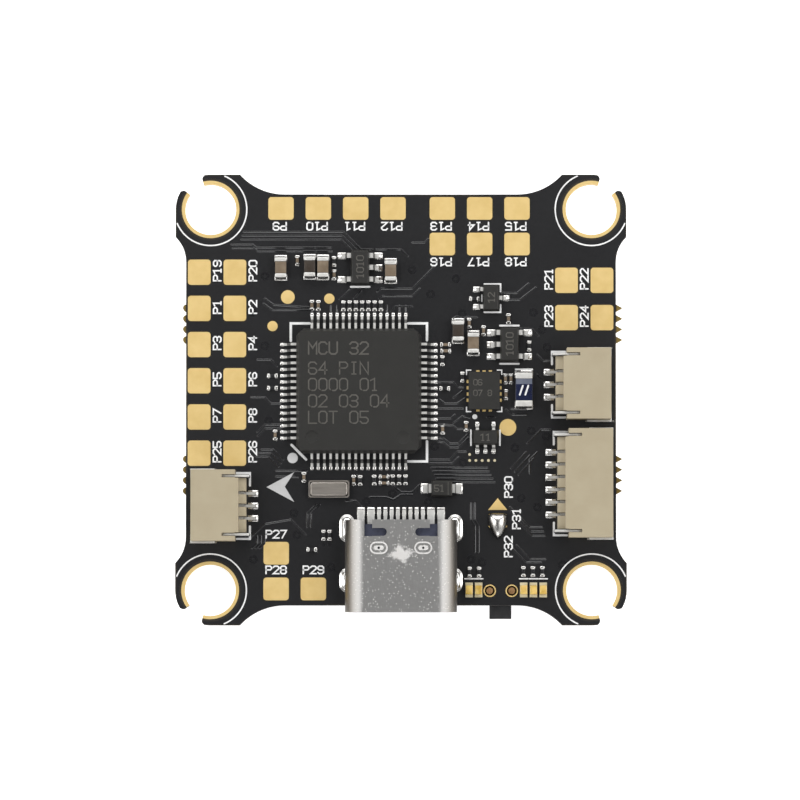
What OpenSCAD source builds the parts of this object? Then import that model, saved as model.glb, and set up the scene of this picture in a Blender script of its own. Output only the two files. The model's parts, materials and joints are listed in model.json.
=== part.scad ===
// Flight controller board for a small multirotor drone.
// Millimetres. The origin is the middle of the four mounting slots, on the board's underside.
// +Z points to the component side, and -Y is the edge that carries the USB socket.

/* [Board] */
// Width of the board between its straight side edges
board_w = 34.4; // [34:0.1:36]
// Height of the board between its straight front and back edges
board_h = 32.9; // [32:0.1:34]
// Thickness of the board over both solder masks
board_t = 1.6; // [1.2:0.1:2]
// Thickness of each solder mask
mask_t = 0.04; // [0.03:0.01:0.06]
// Gap between the laminate's edge and the solder mask
mask_inset = 0.12; // [0.05:0.01:0.2]

/* [Mounting slots] */
// Distance between neighbouring mounting slots
hole_pitch = 30.5; // [30:0.5:31]
// Radius of the plated slot, which holds a rubber grommet's neck
hole_r = 2.05; // [1.9:0.05:2.1]
// Outer radius of the gold ring on each face
ring_r = 2.31; // [2.3:0.01:2.5]
// Thickness of the plating in the slot's wall
plating_t = 0.03; // [0.02:0.005:0.04]
// Outer radius of the corner lobe around each slot
lobe_r = 2.8; // [2.7:0.05:3]
// Where the entry gap of a slot starts, in degrees from the Y axis towards the side edge
gap_from = 15.5; // [12:0.5:20]
// Where the entry gap of a slot ends, in degrees from the Y axis towards the side edge
gap_to = 54; // [50:1:60]
// Fillet radius between a lobe and the front or back edge
front_fillet_r = 4.85; // [4:0.05:5]
// Fillet radius between a lobe and a side edge
side_fillet_r = 2.95; // [2.5:0.05:3.2]

/* [Breakaway remnants] */
// Distance between neighbouring remnants of the breakaway tabs
tooth_pitch = 0.85; // [0.8:0.01:0.9]
// How far a remnant stands out of the right edge
tooth_right = 0.5; // [0.3:0.05:0.6]
// How far a remnant stands out of the left edge
tooth_left = 0.25; // [0.1:0.05:0.4]

/* [Wire pads] */
// Thickness of the gold pads
pad_t = 0.05; // [0.04:0.01:0.08]
// Corner radius of a wire pad
pad_round = 0.25; // [0.1:0.05:0.4]
// Gap between a pad and the solder mask around it
pad_gap = 0.08; // [0.05:0.01:0.15]
// Long side of a wire pad
pad_long = 2.03; // [1.9:0.01:2.1]
// Short side of a wire pad
pad_short = 1.82; // [1.7:0.01:1.9]
// Distance between neighbouring pads of the back row
pad_row_pitch = 2.99; // [2.9:0.01:3.05]
// Distance between neighbouring pads of the left columns
pad_column_pitch = 2.9; // [2.8:0.01:3]

/* [Processor] */
// Side of the processor's square body
mcu_w = 10; // [9.8:0.1:10.2]
// Distance between neighbouring processor leads
mcu_pitch = 0.5; // [0.5:0.01:0.5]
// Processor leads on each side
mcu_leads_per_side = 16; // [12:1:16]
// Top of the processor above the board
mcu_top = 1.5; // [1.4:0.1:1.7]
// How far a processor lead reaches out of the body
mcu_run = 1.05; // [0.9:0.05:1.1]

/* [USB socket] */
// Width of the USB shell
usb_w = 8.94; // [8.9:0.01:9]
// Height of the USB shell
usb_h = 3.16; // [3.1:0.01:3.3]
// Thickness of the USB shell's steel
usb_wall = 0.3; // [0.25:0.01:0.32]
// Place of the shell's rear edge along Y
usb_rear = -9.67; // [-9.8:0.01:-9.5]
// Place of the shell's mouth along Y
usb_front = -17.02; // [-17.3:0.01:-16.8]
// Width of the tongue inside the shell
tongue_w = 6.5; // [6:0.05:6.69]
// Thickness of the tongue inside the shell
tongue_t = 0.7; // [0.65:0.01:0.75]

/* [Cable sockets] */
// Distance between neighbouring contacts of a cable socket
socket_pitch = 1; // [1:0.05:1.25]
// Height of a cable socket
socket_h = 2.95; // [2.8:0.05:3.1]
// Depth of a cable socket from its rear face to its mouth
socket_depth = 4.4; // [4.2:0.05:4.5]
// Width of a socket beyond its outermost contacts, both sides together
socket_extra = 3.66; // [3.5:0.01:3.8]

/* [Boot switch] */
// How far the button travels when it is pressed
button_travel = 0.25; // [0.15:0.01:0.3]
// Width of the button
button_w = 1.76; // [1.6:0.02:1.9]
// Height of the button
button_h = 0.8; // [0.6:0.05:0.9]
// Clearance between the button and its window on every side
button_gap = 0.05; // [0.04:0.01:0.1]

/* [Hidden] */
$fn = 48;

past = 1;             // how far a cutter runs past what it cuts
seam = 0.02;          // clearance between pieces that fit into each other

// Board outline
half_w = board_w / 2;
half_h = board_h / 2;
hole_at = hole_pitch / 2;
lobe_reach = hole_at + lobe_r;
front_rise = lobe_reach - half_h;
side_rise = lobe_reach - half_w;
front_fillet_x = 9.3;
side_fillet_y = 11;
front_flat_x = front_fillet_x + sqrt(pow(front_fillet_r, 2) - pow(front_fillet_r - front_rise, 2));
side_flat_y = side_fillet_y + sqrt(pow(side_fillet_r, 2) - pow(side_fillet_r - side_rise, 2));
lobe_gap_r = 2.5;     // where the solder mask stops around a slot
arm_tip_cut = 0.3;    // what is taken off the arm ends' outer corners beside the entry gap

// Breakaway remnants: the first tooth of each group, which runs towards -Y
teeth_per_group = 4;
tooth_groups = [7.35, -4.75];
tooth_w = 0.55;
tooth_root = 0.3;
tooth_root_w = tooth_w / 2 * (tooth_right + tooth_root) / tooth_right;

// Wire pads: centres
back_row_y = 15.33;
second_row_y = 12.47;
back_row_left_x = -9.61;
back_row_right_x = 3.31;
left_columns_x = [-16.15, -13.3];
left_columns_y = 10.21;
left_rows = 6;
right_block_x = [13.25, 16.09];
right_block_y = [9.56, 6.57];
corner_pads = [[-9.97, -12.29], [-9.98, -15.14], [-7, -15.14]];
test_points = [[-9.06, 8.22, 0.55], [-5.74, 8.09, 0.41], [-10.28, 5.89, 0.41], [8.55, -2.22, 0.67]];

// Voltage selector and its solder bridge
selector_x = 7.73;
selector_top = -7.88;
selector_w = 1.54;
selector_len = 0.95;
selector_y = -9.465;
selector_bar = [1.36, 0.62];
bridge_y = -9.8;
bridge_r = 0.73;
bridge_tip = 1.35;

// Processor and its marks
mcu_at = [-3.37, 0.655];
mcu_standoff = 0.1;
mcu_lead_w = 0.2;
mcu_foot = 0.36;
mcu_corner = 0.6;

// Packages on the component side: centres
imu_at = [6.65, 0.7];
imu_size = [2.5, 3, 0.83];
regulators = [[-3.27, 10.57, 0], [8.68, 4.4, 1]];
sot_body = [1.5, 2.8, 1.1];
sot_pitch = 0.95;
sot_run = 0.75;
transistor_at = [7.22, 8.13];
transistor_size = [1.3, 2.1, 0.95];
shifter_at = [6.75, -3.05];
shifter_size = [2.1, 1.2, 0.95];
crystal_size = [3.28, 1.4, 0.8];
crystal_top_at = [-5.76, -7.17];
crystal_bottom_at = [-0.5, -4.6];
diode_at = [3.26, -7.12];
diode_size = [1.68, 1.38, 0.95];
fuse_at = [9.83, 0.78];
fuse_size = [1.38, 2.73, 0.8];

// Chip sizes: length, width, height, end cap
chip_0201 = [0.62, 0.28, 0.26, 0.14];
chip_0402 = [1, 0.5, 0.42, 0.22];
chip_0603 = [1.62, 0.92, 0.82, 0.34];
chip_1206 = [3.2, 1.6, 1.4, 0.5];

// Capacitors on the component side stand along Y
capacitors_top = [[-9.62, 10.56], [-7.31, 10.64], [-6.25, 10.6], [-0.83, 10.31], [4.57, 5.5], [5.78, 4.52]];
capacitors_bottom = [[3.4, 12.2], [7.9, 6.2], [-10.6, 9.4]];

// Small capacitors and resistors: [x, y, turn in degrees], 0 along Y
small_capacitors = [
    [-8.3, 11.14, 0], [-5.36, 10, 0], [-7.13, 7.55, 0], [-6.62, 7.54, 0], [3.56, 4.4, 90], [3.58, 3.9, 90],
    [5.46, 6.12, 0], [6.61, 5.52, 0], [8.6, 6.48, 0], [8.35, 1.66, 0], [8.8, 1.66, 0], [8.39, 0.4, 0],
    [3.33, -2.37, 0], [5.21, -2.14, 0], [-10.06, -2.83, 0], [-7.76, -6.21, 0], [-3.78, -6.45, 0],
    [-1.35, -6.18, 90], [-1.35, -6.68, 90]
];
small_resistors = [
    [-5.36, 11.07, 0], [5.88, 8.08, 90], [10.25, 4.29, 0], [3.31, 3.12, 0], [4.92, 1.8, 0], [3.5, 0.89, 90],
    [-10.29, 1.9, 90], [-10.29, 0.92, 90], [-3.27, -6.47, 0], [-2.14, -6.44, 0], [-0.66, -6.43, 0],
    [-0.15, -6.43, 0], [0.36, -6.43, 0], [-7.13, -12, 90]
];
// Rows of small chips: [first x, y, pitch, count]
chip_rows_top = [[-4.61, 7.51, 0.5, 7], [5.47, -13.8, 0.76, 2], [9.78, -13.75, 0.76, 3], [-6.19, -10.85, 0.48, 2]];
chip_rows_bottom = [[-4.2, -1.9, 0.95, 9], [-9.6, 5.6, 0.95, 5], [2.6, -6.2, 0.95, 4], [-9.6, -11.4, 0.95, 4]];

// Indicator lights
led_size = [1.18, 0.6, 0.45, 0.22];
led_y = -15.22;
led_x = [5.44, 6.2, 9.8, 10.58, 11.36];

// USB socket
usb_r = usb_h / 2;
usb_bar = usb_w / 2 - usb_r;
usb_leg_x = usb_w / 2 - usb_wall / 2;
usb_legs = [[-10.3, 1.05], [-14.45, 0.75]];
usb_leg_slot_r = 0.32;
usb_leg_depth = 2;
usb_block_front = -12.1;
tongue_front = -16.3;
usb_contact_pitch = 0.5;
usb_contact_w = 0.25;
usb_tail_end = -8.79;
usb_tail_narrow = [-1.75, -1.25, -0.75, -0.25, 0.25, 0.75, 1.25, 1.75];
usb_tail_wide = [-3.2, -2.4, 2.4, 3.2];
usb_tail_t = 0.14;

// Cable sockets, as side-entry housings: [rear face x, centre y, contacts, turn]
rx_socket = [-12.34, -8.51, 3, 180];
strip_socket = [12.34, 1.2, 3, 0];
video_socket = [12.48, -6.72, 6, 0];
esc_left = [-12.6, 0, 8, 180];
esc_right = [12.6, 0, 8, 0];
ledge_len = 0.6;
ledge_h = 2.3;
ear_start = 0.87;
ear_step = 0.66;
mouth_wall = 0.72;
mouth_floor = 0.55;
mouth_h = 1.85;
mouth_depth = 3.3;
contact_w = 0.22;
contact_t = 0.3;
contact_z = 1.3;
tail_run = 0.72;
tail_t = 0.15;
tab_t = 0.2;
tab_inset = 0.5;
tab_from = -0.28;
tab_to = 1.9;
tab_h = 2.55;
tab_foot = [2.55, 4.5];
tab_foot_out = 0.16;
tab_foot_t = 0.22;

// Boot switch, which hangs under the front edge
switch_x = 7.97;
switch_front = -16.15;
switch_rear = -14.1;
switch_w = 4.6;
switch_h = 1.5;
sheet_t = 0.13;
button_z = 0.78;      // middle of the button below the board
button_tip = -17.52;
flange_w = 2.4;
flange_h = 1;
flange_len = 0.28;
chamber_w = 2.7;
chamber_h = 1.16;
chamber_rear = -15.08;
dome_r = 3;
dome_w = 2.3;
dome_t = 0.06;
dome_h = 0.9;
peg_x = 0.88;
peg_y = -15.29;
peg_r = 0.27;
peg_hole_r = 0.4;
peg_ring_r = 0.52;
switch_terminal_x = 1.5;

// Underside packages: centres
osd_at = [0.3, 2.2];
osd_size = [9.7, 4.4, 1.1];
osd_pitch = 0.65;
osd_leads_per_side = 14;
osd_run = 1;
inductors = [[-6.6, 10.2], [-1.2, 10.2]];
inductor_size = [4, 4, 2];
buck_chips = [[3.2, 8.7], [6.4, 9.9]];
flash_at = [-6.4, -5.6];
flash_size = [6, 5, 0.8];
barometer_at = [7.6, -3.4];
barometer_size = [2, 2.5, 0.95];

// ---------- shared shapes ----------

module on_top() {
    translate([0, 0, board_t]) children();
}

module on_bottom() {
    mirror([0, 0, 1]) children();
}

module at_corners() {
    for (sx = [-1, 1], sy = [-1, 1]) scale_signs(sx, sy) children();
}

module scale_signs(sx, sy) {
    mirror([sx < 0 ? 1 : 0, 0, 0]) mirror([0, sy < 0 ? 1 : 0, 0]) children();
}

module block(size, z = 0) {
    translate([-size[0] / 2, -size[1] / 2, z]) cube(size);
}

module round_rect(w, h, r) {
    union() {
        square([w - 2 * r, h], center = true);
        square([w, h - 2 * r], center = true);
        for (x = [-1, 1], y = [-1, 1]) translate([x * (w / 2 - r), y * (h / 2 - r)]) circle(r = r);
    }
}

// A bar with round ends, lying along X
module slot_2d(length, width) {
    union() {
        square([length - width, width], center = true);
        for (x = [-1, 1]) translate([x * (length - width) / 2, 0]) circle(r = width / 2);
    }
}

// The part of a ring's sector that the entry gap of the slot at +X +Y leaves open
module gap_wedge(reach) {
    polygon([
        [0, 0],
        [reach * sin(gap_to), reach * cos(gap_to)],
        [reach * 1.4 * sin((gap_from + gap_to) / 2), reach * 1.4 * cos((gap_from + gap_to) / 2)],
        [reach * sin(gap_from), reach * cos(gap_from)]
    ]);
}

// A moulded chip body: full width at its parting band, drawn in towards top and bottom
module moulded_body(size, z_low, z_high, draft = 0.12, band = 0.2) {
    mid = (z_low + z_high) / 2;
    intersection() {
        moulded_side(size[0], size[1], z_low, z_high, mid, draft, band);
        rotate([0, 0, 90]) moulded_side(size[1], size[0], z_low, z_high, mid, draft, band);
    }
}

module moulded_side(w, depth, z_low, z_high, mid, draft, band) {
    translate([0, depth / 2 + past, 0]) rotate([90, 0, 0]) linear_extrude(depth + 2 * past) polygon([
        [-w / 2 + draft, z_low], [w / 2 - draft, z_low],
        [w / 2, mid - band / 2], [w / 2, mid + band / 2],
        [w / 2 - draft, z_high], [-w / 2 + draft, z_high],
        [-w / 2, mid + band / 2], [-w / 2, mid - band / 2]
    ]);
}

// A gull-wing lead that leaves a body's face at x = 0 and runs along +X
module gull_lead(run, height, foot, width, thick) {
    knee = (run - foot) * 0.55;
    translate([0, width / 2, 0]) rotate([90, 0, 0]) linear_extrude(width) polygon([
        [0, height - thick / 2], [knee, height - thick / 2], [run - foot, 0], [run, 0],
        [run, thick], [run - foot + thick / 2, thick],
        [knee + thick / 2, height + thick / 2], [0, height + thick / 2]
    ]);
}

module chip_middle(size) {
    block([size[1] - 0.04, size[0] - 2 * size[3], size[2] - 0.02]);
}

module chip_ends(size) {
    for (y = [-1, 1]) translate([0, y * (size[0] - size[3]) / 2, 0]) block([size[1], size[3], size[2]]);
}

module placed(list) {
    for (p = list) translate([p[0], p[1], 0]) rotate([0, 0, len(p) > 2 ? p[2] : 0]) children();
}

module in_rows(rows) {
    for (r = rows) for (i = [0 : r[3] - 1]) translate([r[0] + i * r[2], r[1], 0]) children();
}

// ---------- board ----------

module lobe_2d() {
    union() {
        translate([hole_at, hole_at]) circle(r = lobe_r);
        translate([front_flat_x, 0]) square([hole_at - front_flat_x, lobe_reach]);
        translate([0, side_flat_y]) square([lobe_reach, hole_at - side_flat_y]);
        difference() {
            translate([front_fillet_x, half_h - past]) square([front_flat_x - front_fillet_x, front_rise + past]);
            translate([front_fillet_x, half_h + front_fillet_r]) circle(r = front_fillet_r);
        }
        difference() {
            translate([half_w - past, side_fillet_y]) square([side_rise + past, side_flat_y - side_fillet_y]);
            translate([half_w + side_fillet_r, side_fillet_y]) circle(r = side_fillet_r);
        }
    }
}

// What is taken off the outer corner of an arm that ends beside the entry gap
module arm_tip(turn, side) {
    rotate([0, 0, -turn]) scale_signs(side, 1) polygon([
        [-seam, lobe_r - arm_tip_cut], [arm_tip_cut * 0.3, lobe_r - arm_tip_cut * 0.4],
        [arm_tip_cut, lobe_r + seam], [arm_tip_cut, lobe_r + arm_tip_cut], [-seam, lobe_r + arm_tip_cut]
    ]);
}

// Outline with the entry gaps cut and the arm tips rounded
module outline_2d(inner_r) {
    difference() {
        union() {
            square([board_w, board_h], center = true);
            at_corners() lobe_2d();
        }
        at_corners() translate([hole_at, hole_at]) {
            circle(r = inner_r);
            gap_wedge(lobe_r + 1);
            arm_tip(gap_from, -1);
            arm_tip(gap_to, 1);
        }
    }
}

module teeth_2d(reach, pointed) {
    for (g = tooth_groups, i = [0 : teeth_per_group - 1]) translate([half_w, g - i * tooth_pitch]) {
        if (pointed) polygon([[-tooth_root, -tooth_root_w], [reach, 0], [-tooth_root, tooth_root_w]]);
        else translate([reach - tooth_w / 2, 0]) circle(r = tooth_w / 2);
    }
}

module leg_slots_2d(grow = 0) {
    for (s = [-1, 1], leg = usb_legs) translate([s * usb_leg_x, leg[0]])
        rotate([0, 0, 90]) slot_2d(leg[1] + 2 * usb_leg_slot_r + 2 * grow, 2 * usb_leg_slot_r + 2 * grow);
}

module peg_places() {
    for (s = [-1, 1]) translate([switch_x + s * peg_x, peg_y]) children();
}

module circuit_board() {
    color("#3a3418") translate([0, 0, mask_t]) linear_extrude(board_t - 2 * mask_t) difference() {
        union() {
            outline_2d(hole_r + plating_t);
            teeth_2d(tooth_right, true);
            mirror([1, 0]) teeth_2d(tooth_left, false);
        }
        leg_slots_2d();
        peg_places() circle(r = peg_hole_r);
    }
}

module mask_outline_2d() {
    intersection() {
        outline_2d(lobe_gap_r);
        union() {
            square([board_w - 2 * mask_inset, board_h - 2 * mask_inset], center = true);
            for (sx = [-1, 1], sy = [-1, 1]) translate([sx * (hole_at - 3.2), sy * (hole_at - 3.2)])
                square(2 * (lobe_reach - hole_at + 3.2 - mask_inset), center = true);
        }
    }
}

module solder_mask_top() {
    color("#1c1c1f") translate([0, 0, board_t - mask_t]) linear_extrude(mask_t) difference() {
        mask_outline_2d();
        pads_2d(pad_gap);
        test_pads_2d(pad_gap);
        selector_2d(pad_gap);
        leg_slots_2d(0.28);
        peg_places() circle(r = peg_ring_r);
    }
}

module solder_mask_bottom() {
    color("#1c1c1f") linear_extrude(mask_t) difference() {
        mask_outline_2d();
        leg_slots_2d(0.28);
        peg_places() circle(r = peg_ring_r);
    }
}

// One C-shaped plated slot: a wall with a gold ring on each face
module plated_slot() {
    difference() {
        union() {
            linear_extrude(board_t) circle(r = hole_r + plating_t);
            translate([0, 0, board_t - mask_t]) linear_extrude(mask_t) circle(r = ring_r);
            linear_extrude(mask_t) circle(r = ring_r);
        }
        translate([0, 0, -past]) cylinder(r = hole_r, h = board_t + 2 * past);
        translate([0, 0, -past]) linear_extrude(board_t + 2 * past) gap_wedge(lobe_r + 1);
    }
}

module slot_plating() {
    color("#e0b84a") {
        at_corners() translate([hole_at, hole_at, 0]) plated_slot();
        for (z = [0, board_t - mask_t]) translate([0, 0, z]) linear_extrude(mask_t) peg_places() difference() {
            circle(r = peg_ring_r - seam);
            circle(r = peg_hole_r);
        }
    }
}

// ---------- pads ----------

module pads_2d(grow = 0) {
    w = pad_long + 2 * grow;
    h = pad_short + 2 * grow;
    for (i = [0 : 3]) translate([back_row_left_x + i * pad_row_pitch, back_row_y]) round_rect(w, h, pad_round);
    for (i = [0 : 2], y = [back_row_y, second_row_y])
        translate([back_row_right_x + i * pad_row_pitch, y]) round_rect(w, h, pad_round);
    for (x = left_columns_x, i = [0 : left_rows - 1])
        translate([x, left_columns_y - i * pad_column_pitch]) round_rect(h, w, pad_round);
    for (x = right_block_x, y = right_block_y) translate([x, y]) round_rect(h, w, pad_round);
    for (p = corner_pads) translate(p) round_rect(w, h, pad_round);
}

module test_pads_2d(grow = 0) {
    for (p = test_points) translate([p[0], p[1]]) circle(r = p[2] + grow);
}

// Two facing triangles with a bar between them
module selector_2d(grow = 0) {
    for (s = [1, -1]) translate([selector_x, selector_y]) scale_signs(1, s) translate([0, selector_top - selector_y])
        polygon([
            [0, 1.5 * grow], [-selector_w / 2 - 1.5 * grow, -selector_len - grow],
            [selector_w / 2 + 1.5 * grow, -selector_len - grow]
        ]);
    translate([selector_x, selector_y]) square([selector_bar[0] + 2 * grow, selector_bar[1] + 2 * grow], center = true);
}

module gold_pad() {
    translate([0, 0, board_t - mask_t]) linear_extrude(pad_t) children();
}

module wire_pads() {
    color("#e3c880") gold_pad() pads_2d();
}

module test_pads() {
    color("#e3c880") gold_pad() test_pads_2d();
}

module selector_pads() {
    color("#d8b450") gold_pad() selector_2d();
}

// A teardrop of solder lying on the selector pads
module solder_bridge() {
    reach = bridge_r * bridge_r / bridge_tip;
    side = sqrt(bridge_r * bridge_r - reach * reach);
    color("#a8a49c") on_top() translate([selector_x, bridge_y, pad_t - mask_t]) intersection() {
        rotate([90, 0, 0]) rotate_extrude() intersection() {
            union() {
                circle(r = bridge_r);
                polygon([[0, 0], [side, reach], [0, bridge_tip]]);
            }
            translate([0, -bridge_tip]) square([bridge_r, 2 * bridge_tip]);
        }
        translate([-5, -5, 0]) cube([10, 10, 5]);
    }
}

// ---------- processor and small packages ----------

module mcu_body() {
    color("#20211f") on_top() translate(mcu_at) difference() {
        intersection() {
            moulded_body([mcu_w, mcu_w], mcu_standoff, mcu_top, 0.24, 0.2);
            linear_extrude(mcu_top) difference() {
                square(mcu_w, center = true);
                for (a = [0 : 90 : 270]) rotate([0, 0, a]) translate([mcu_w / 2, mcu_w / 2])
                    rotate([0, 0, 45]) square(mcu_corner * sqrt(2), center = true);
            }
        }
        translate([-3.75, -3.68, mcu_top - 0.08]) cylinder(r = 0.5, h = past);
        translate([3.57, -3.75, mcu_top - 0.03]) cylinder(r = 0.5, h = past);
    }
}

module mcu_leads() {
    mid = (mcu_standoff + mcu_top) / 2;
    first = -(mcu_leads_per_side - 1) / 2 * mcu_pitch;
    color("#c9c6bf") on_top() translate(mcu_at) for (a = [0 : 90 : 270], i = [0 : mcu_leads_per_side - 1])
        rotate([0, 0, a]) translate([mcu_w / 2, first + i * mcu_pitch, 0])
            gull_lead(mcu_run, mid, mcu_foot, mcu_lead_w, 0.14);
}

module imu_body() {
    color("#26262a") on_top() translate([imu_at[0], imu_at[1], 0.04]) block(imu_size);
}

module imu_lands() {
    step = 0.5;
    color("#c9a75a") on_top() translate(imu_at) {
        for (s = [-1, 1], i = [-1.5 : 1.5]) translate([s * (imu_size[0] / 2 - 0.06), i * step, 0])
            block([0.42, 0.26, 0.04]);
        for (s = [-1, 1], i = [-1 : 1]) translate([i * step, s * (imu_size[1] / 2 - 0.06), 0])
            block([0.26, 0.42, 0.04]);
    }
}

// Leads of a small package whose rows run along Y: which rows carry a lead on each side
module side_leads(size, left, right, pitch, run, w, t) {
    mid = 0.08 + (size[2] - 0.08) / 2;
    for (y = right) translate([size[0] / 2, y * pitch, 0]) gull_lead(run, mid, run * 0.5, w, t);
    for (y = left) translate([-size[0] / 2, y * pitch, 0]) mirror([1, 0, 0]) gull_lead(run, mid, run * 0.5, w, t);
}

module regulator_bodies() {
    color("#1d1d1f") on_top() for (p = regulators) translate([p[0], p[1]])
        moulded_body([sot_body[0], sot_body[1]], 0.08, sot_body[2]);
}

module regulator_leads() {
    color("#cfccc4") on_top() for (p = regulators) translate([p[0], p[1]])
        side_leads(sot_body, p[2] == 0 ? [-1, 1] : [-1, 0, 1], p[2] == 0 ? [-1, 0, 1] : [-1, 1], sot_pitch, sot_run, 0.4, 0.15);
}

module transistor_body() {
    color("#1f1f21") on_top() translate(transistor_at)
        moulded_body([transistor_size[0], transistor_size[1]], 0.08, transistor_size[2]);
}

module transistor_leads() {
    color("#cfccc4") on_top() translate(transistor_at)
        side_leads(transistor_size, [-0.7, 0.7], [0], 1, 0.55, 0.32, 0.13);
}

module level_shifter_body() {
    color("#1f1f21") on_top() translate(shifter_at)
        moulded_body([shifter_size[0], shifter_size[1]], 0.08, shifter_size[2]);
}

module level_shifter_leads() {
    color("#cfccc4") on_top() translate(shifter_at) rotate([0, 0, 90])
        side_leads([shifter_size[1], shifter_size[0], shifter_size[2]], [-1, 0, 1], [-1, 1], 0.65, 0.45, 0.24, 0.13);
}

module crystal_base() {
    block([crystal_size[0], crystal_size[1], crystal_size[2] - 0.25]);
}

module crystal_lid() {
    translate([0, 0, crystal_size[2] - 0.25]) linear_extrude(0.25) round_rect(crystal_size[0] - 0.35, crystal_size[1] - 0.35, 0.2);
}

module crystal_bases() {
    color("#6a6560") {
        on_top() translate(crystal_top_at) crystal_base();
        on_bottom() translate(crystal_bottom_at) crystal_base();
    }
}

module crystal_lids() {
    color("#a39c92") {
        on_top() translate(crystal_top_at) crystal_lid();
        on_bottom() translate(crystal_bottom_at) crystal_lid();
    }
}

module diode_body() {
    color("#232225") on_top() translate(diode_at) moulded_body([diode_size[0], diode_size[1]], 0.05, diode_size[2]);
}

module diode_terminals() {
    color("#cfccc4") on_top() translate(diode_at) for (s = [-1, 1]) scale_signs(s, 1)
        translate([diode_size[0] / 2, 0, 0]) gull_lead(0.65, 0.42, 0.42, 0.7, 0.14);
}

module fuse_body() {
    color("#2a3050") on_top() translate(fuse_at) block([fuse_size[0] - 0.04, fuse_size[1] - 1, fuse_size[2] - 0.04]);
}

module fuse_terminals() {
    color("#d8d5cc") on_top() translate(fuse_at) chip_ends([fuse_size[1], fuse_size[0], fuse_size[2], 0.5]);
}

module capacitor_bodies() {
    color("#6b4c36") {
        on_top() placed(capacitors_top) chip_middle(chip_0603);
        on_top() placed(small_capacitors) chip_middle(chip_0201);
        on_bottom() placed(capacitors_bottom) chip_middle(chip_1206);
    }
}

module capacitor_terminals() {
    color("#d2cfc6") {
        on_top() placed(capacitors_top) chip_ends(chip_0603);
        on_top() placed(small_capacitors) chip_ends(chip_0201);
        on_bottom() placed(capacitors_bottom) chip_ends(chip_1206);
    }
}

module resistor_bodies() {
    color("#2b2a2c") {
        on_top() placed(small_resistors) chip_middle(chip_0201);
        on_top() in_rows(chip_rows_top) chip_middle(chip_0201);
        on_bottom() in_rows(chip_rows_bottom) chip_middle(chip_0402);
    }
}

module resistor_terminals() {
    color("#d2cfc6") {
        on_top() placed(small_resistors) chip_ends(chip_0201);
        on_top() in_rows(chip_rows_top) chip_ends(chip_0201);
        on_bottom() in_rows(chip_rows_bottom) chip_ends(chip_0402);
    }
}

module led_bases() {
    color("#d9c68c") on_top() for (x = led_x) translate([x, led_y, 0]) {
        block([led_size[1], led_size[0] - 2 * led_size[3], 0.14]);
        for (y = [-1, 1]) translate([0, y * (led_size[0] - led_size[3]) / 2, 0])
            block([led_size[1], led_size[3], 0.16]);
    }
}

module led_lenses() {
    color("#d8b45a") on_top() for (x = led_x) translate([x, led_y, 0.14])
        block([led_size[1] - 0.04, led_size[0] - 2 * led_size[3] - 0.02, led_size[2] - 0.14]);
}

// ---------- USB socket ----------

// The shell's stadium section, extruded along Y from one place to another
module usb_section(shrink, y_from, y_to) {
    translate([0, y_to, board_t + usb_r]) rotate([90, 0, 0]) linear_extrude(y_to - y_from)
        slot_2d(usb_w - 2 * shrink, usb_h - 2 * shrink);
}

module usb_rear_slot() {
    translate([2.29, -11, 0]) cube([0.62, 5, 5]);
    translate([1.45, -10.98, 0]) cube([1.3, 0.64, 5]);
    translate([1.45, -10.66, 0]) cylinder(r = 0.32, h = 5);
}

module usb_shell() {
    color("#c4c0bb") {
        difference() {
            usb_section(0, usb_front, usb_rear);
            usb_section(usb_wall, usb_front - past, usb_rear + past);
            for (s = [-1, 1]) scale_signs(s, 1) translate([0, 0, board_t + usb_r]) usb_rear_slot();
            translate([-3.7, -11.6, board_t - past]) cube([7.4, 5, past + usb_wall + 0.1]);
            for (s = [-1, 1]) translate([s * 1.77, -11.92, board_t + usb_h - 0.1]) linear_extrude(past)
                round_rect(1.5, 1.05, 0.5);
        }
        for (s = [-1, 1], leg = usb_legs) translate([s * usb_leg_x, leg[0], 0])
            block([usb_wall, leg[1], board_t + usb_r + usb_leg_depth - 1.2], -usb_leg_depth + 1.6);
    }
}

module usb_housing() {
    block_from = usb_rear - 0.35;
    mid = board_t + usb_r;
    color("#3c4258") difference() {
        union() {
            usb_section(usb_wall + seam, usb_block_front, block_from);
            translate([-tongue_w / 2, tongue_front, mid - tongue_t / 2])
                cube([tongue_w, usb_block_front - tongue_front, tongue_t]);
        }
        translate([-tongue_w / 2 - past, tongue_front - past, mid - 0.08])
            cube([tongue_w + 2 * past, usb_block_front - tongue_front + past + 0.4, 0.16]);
        for (side = [-1, 1], i = [-5.5 : 5.5])
            translate([i * usb_contact_pitch, (tongue_front + usb_block_front) / 2, mid + side * tongue_t / 2])
                block([usb_contact_w + seam, 3.6 + seam, 0.16], -0.08);
        translate([-3.6, block_from - 0.5, board_t - past]) cube([7.2, 5, past + 0.5]);
    }
}

module usb_mid_plate() {
    mid = board_t + usb_r;
    color("#b9b6b0") translate([-tongue_w / 2 - 0.08, tongue_front + 0.15, mid - 0.07])
        cube([tongue_w + 0.16, usb_block_front - tongue_front + 0.2, 0.14]);
}

module usb_contacts() {
    mid = board_t + usb_r;
    tail_len = usb_tail_end - usb_rear + 0.75;
    color("#d9b65c") {
        for (side = [-1, 1], i = [-5.5 : 5.5])
            translate([i * usb_contact_pitch, (tongue_front + usb_block_front) / 2, mid + side * (tongue_t / 2 - 0.02)])
                block([usb_contact_w, 3.6, 0.1], -0.05);
        for (x = usb_tail_narrow) translate([x, usb_tail_end - tail_len / 2, board_t]) block([0.27, tail_len, usb_tail_t]);
        for (x = usb_tail_wide) translate([x, usb_tail_end - tail_len / 2, board_t]) block([0.57, tail_len, usb_tail_t]);
    }
}

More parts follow.
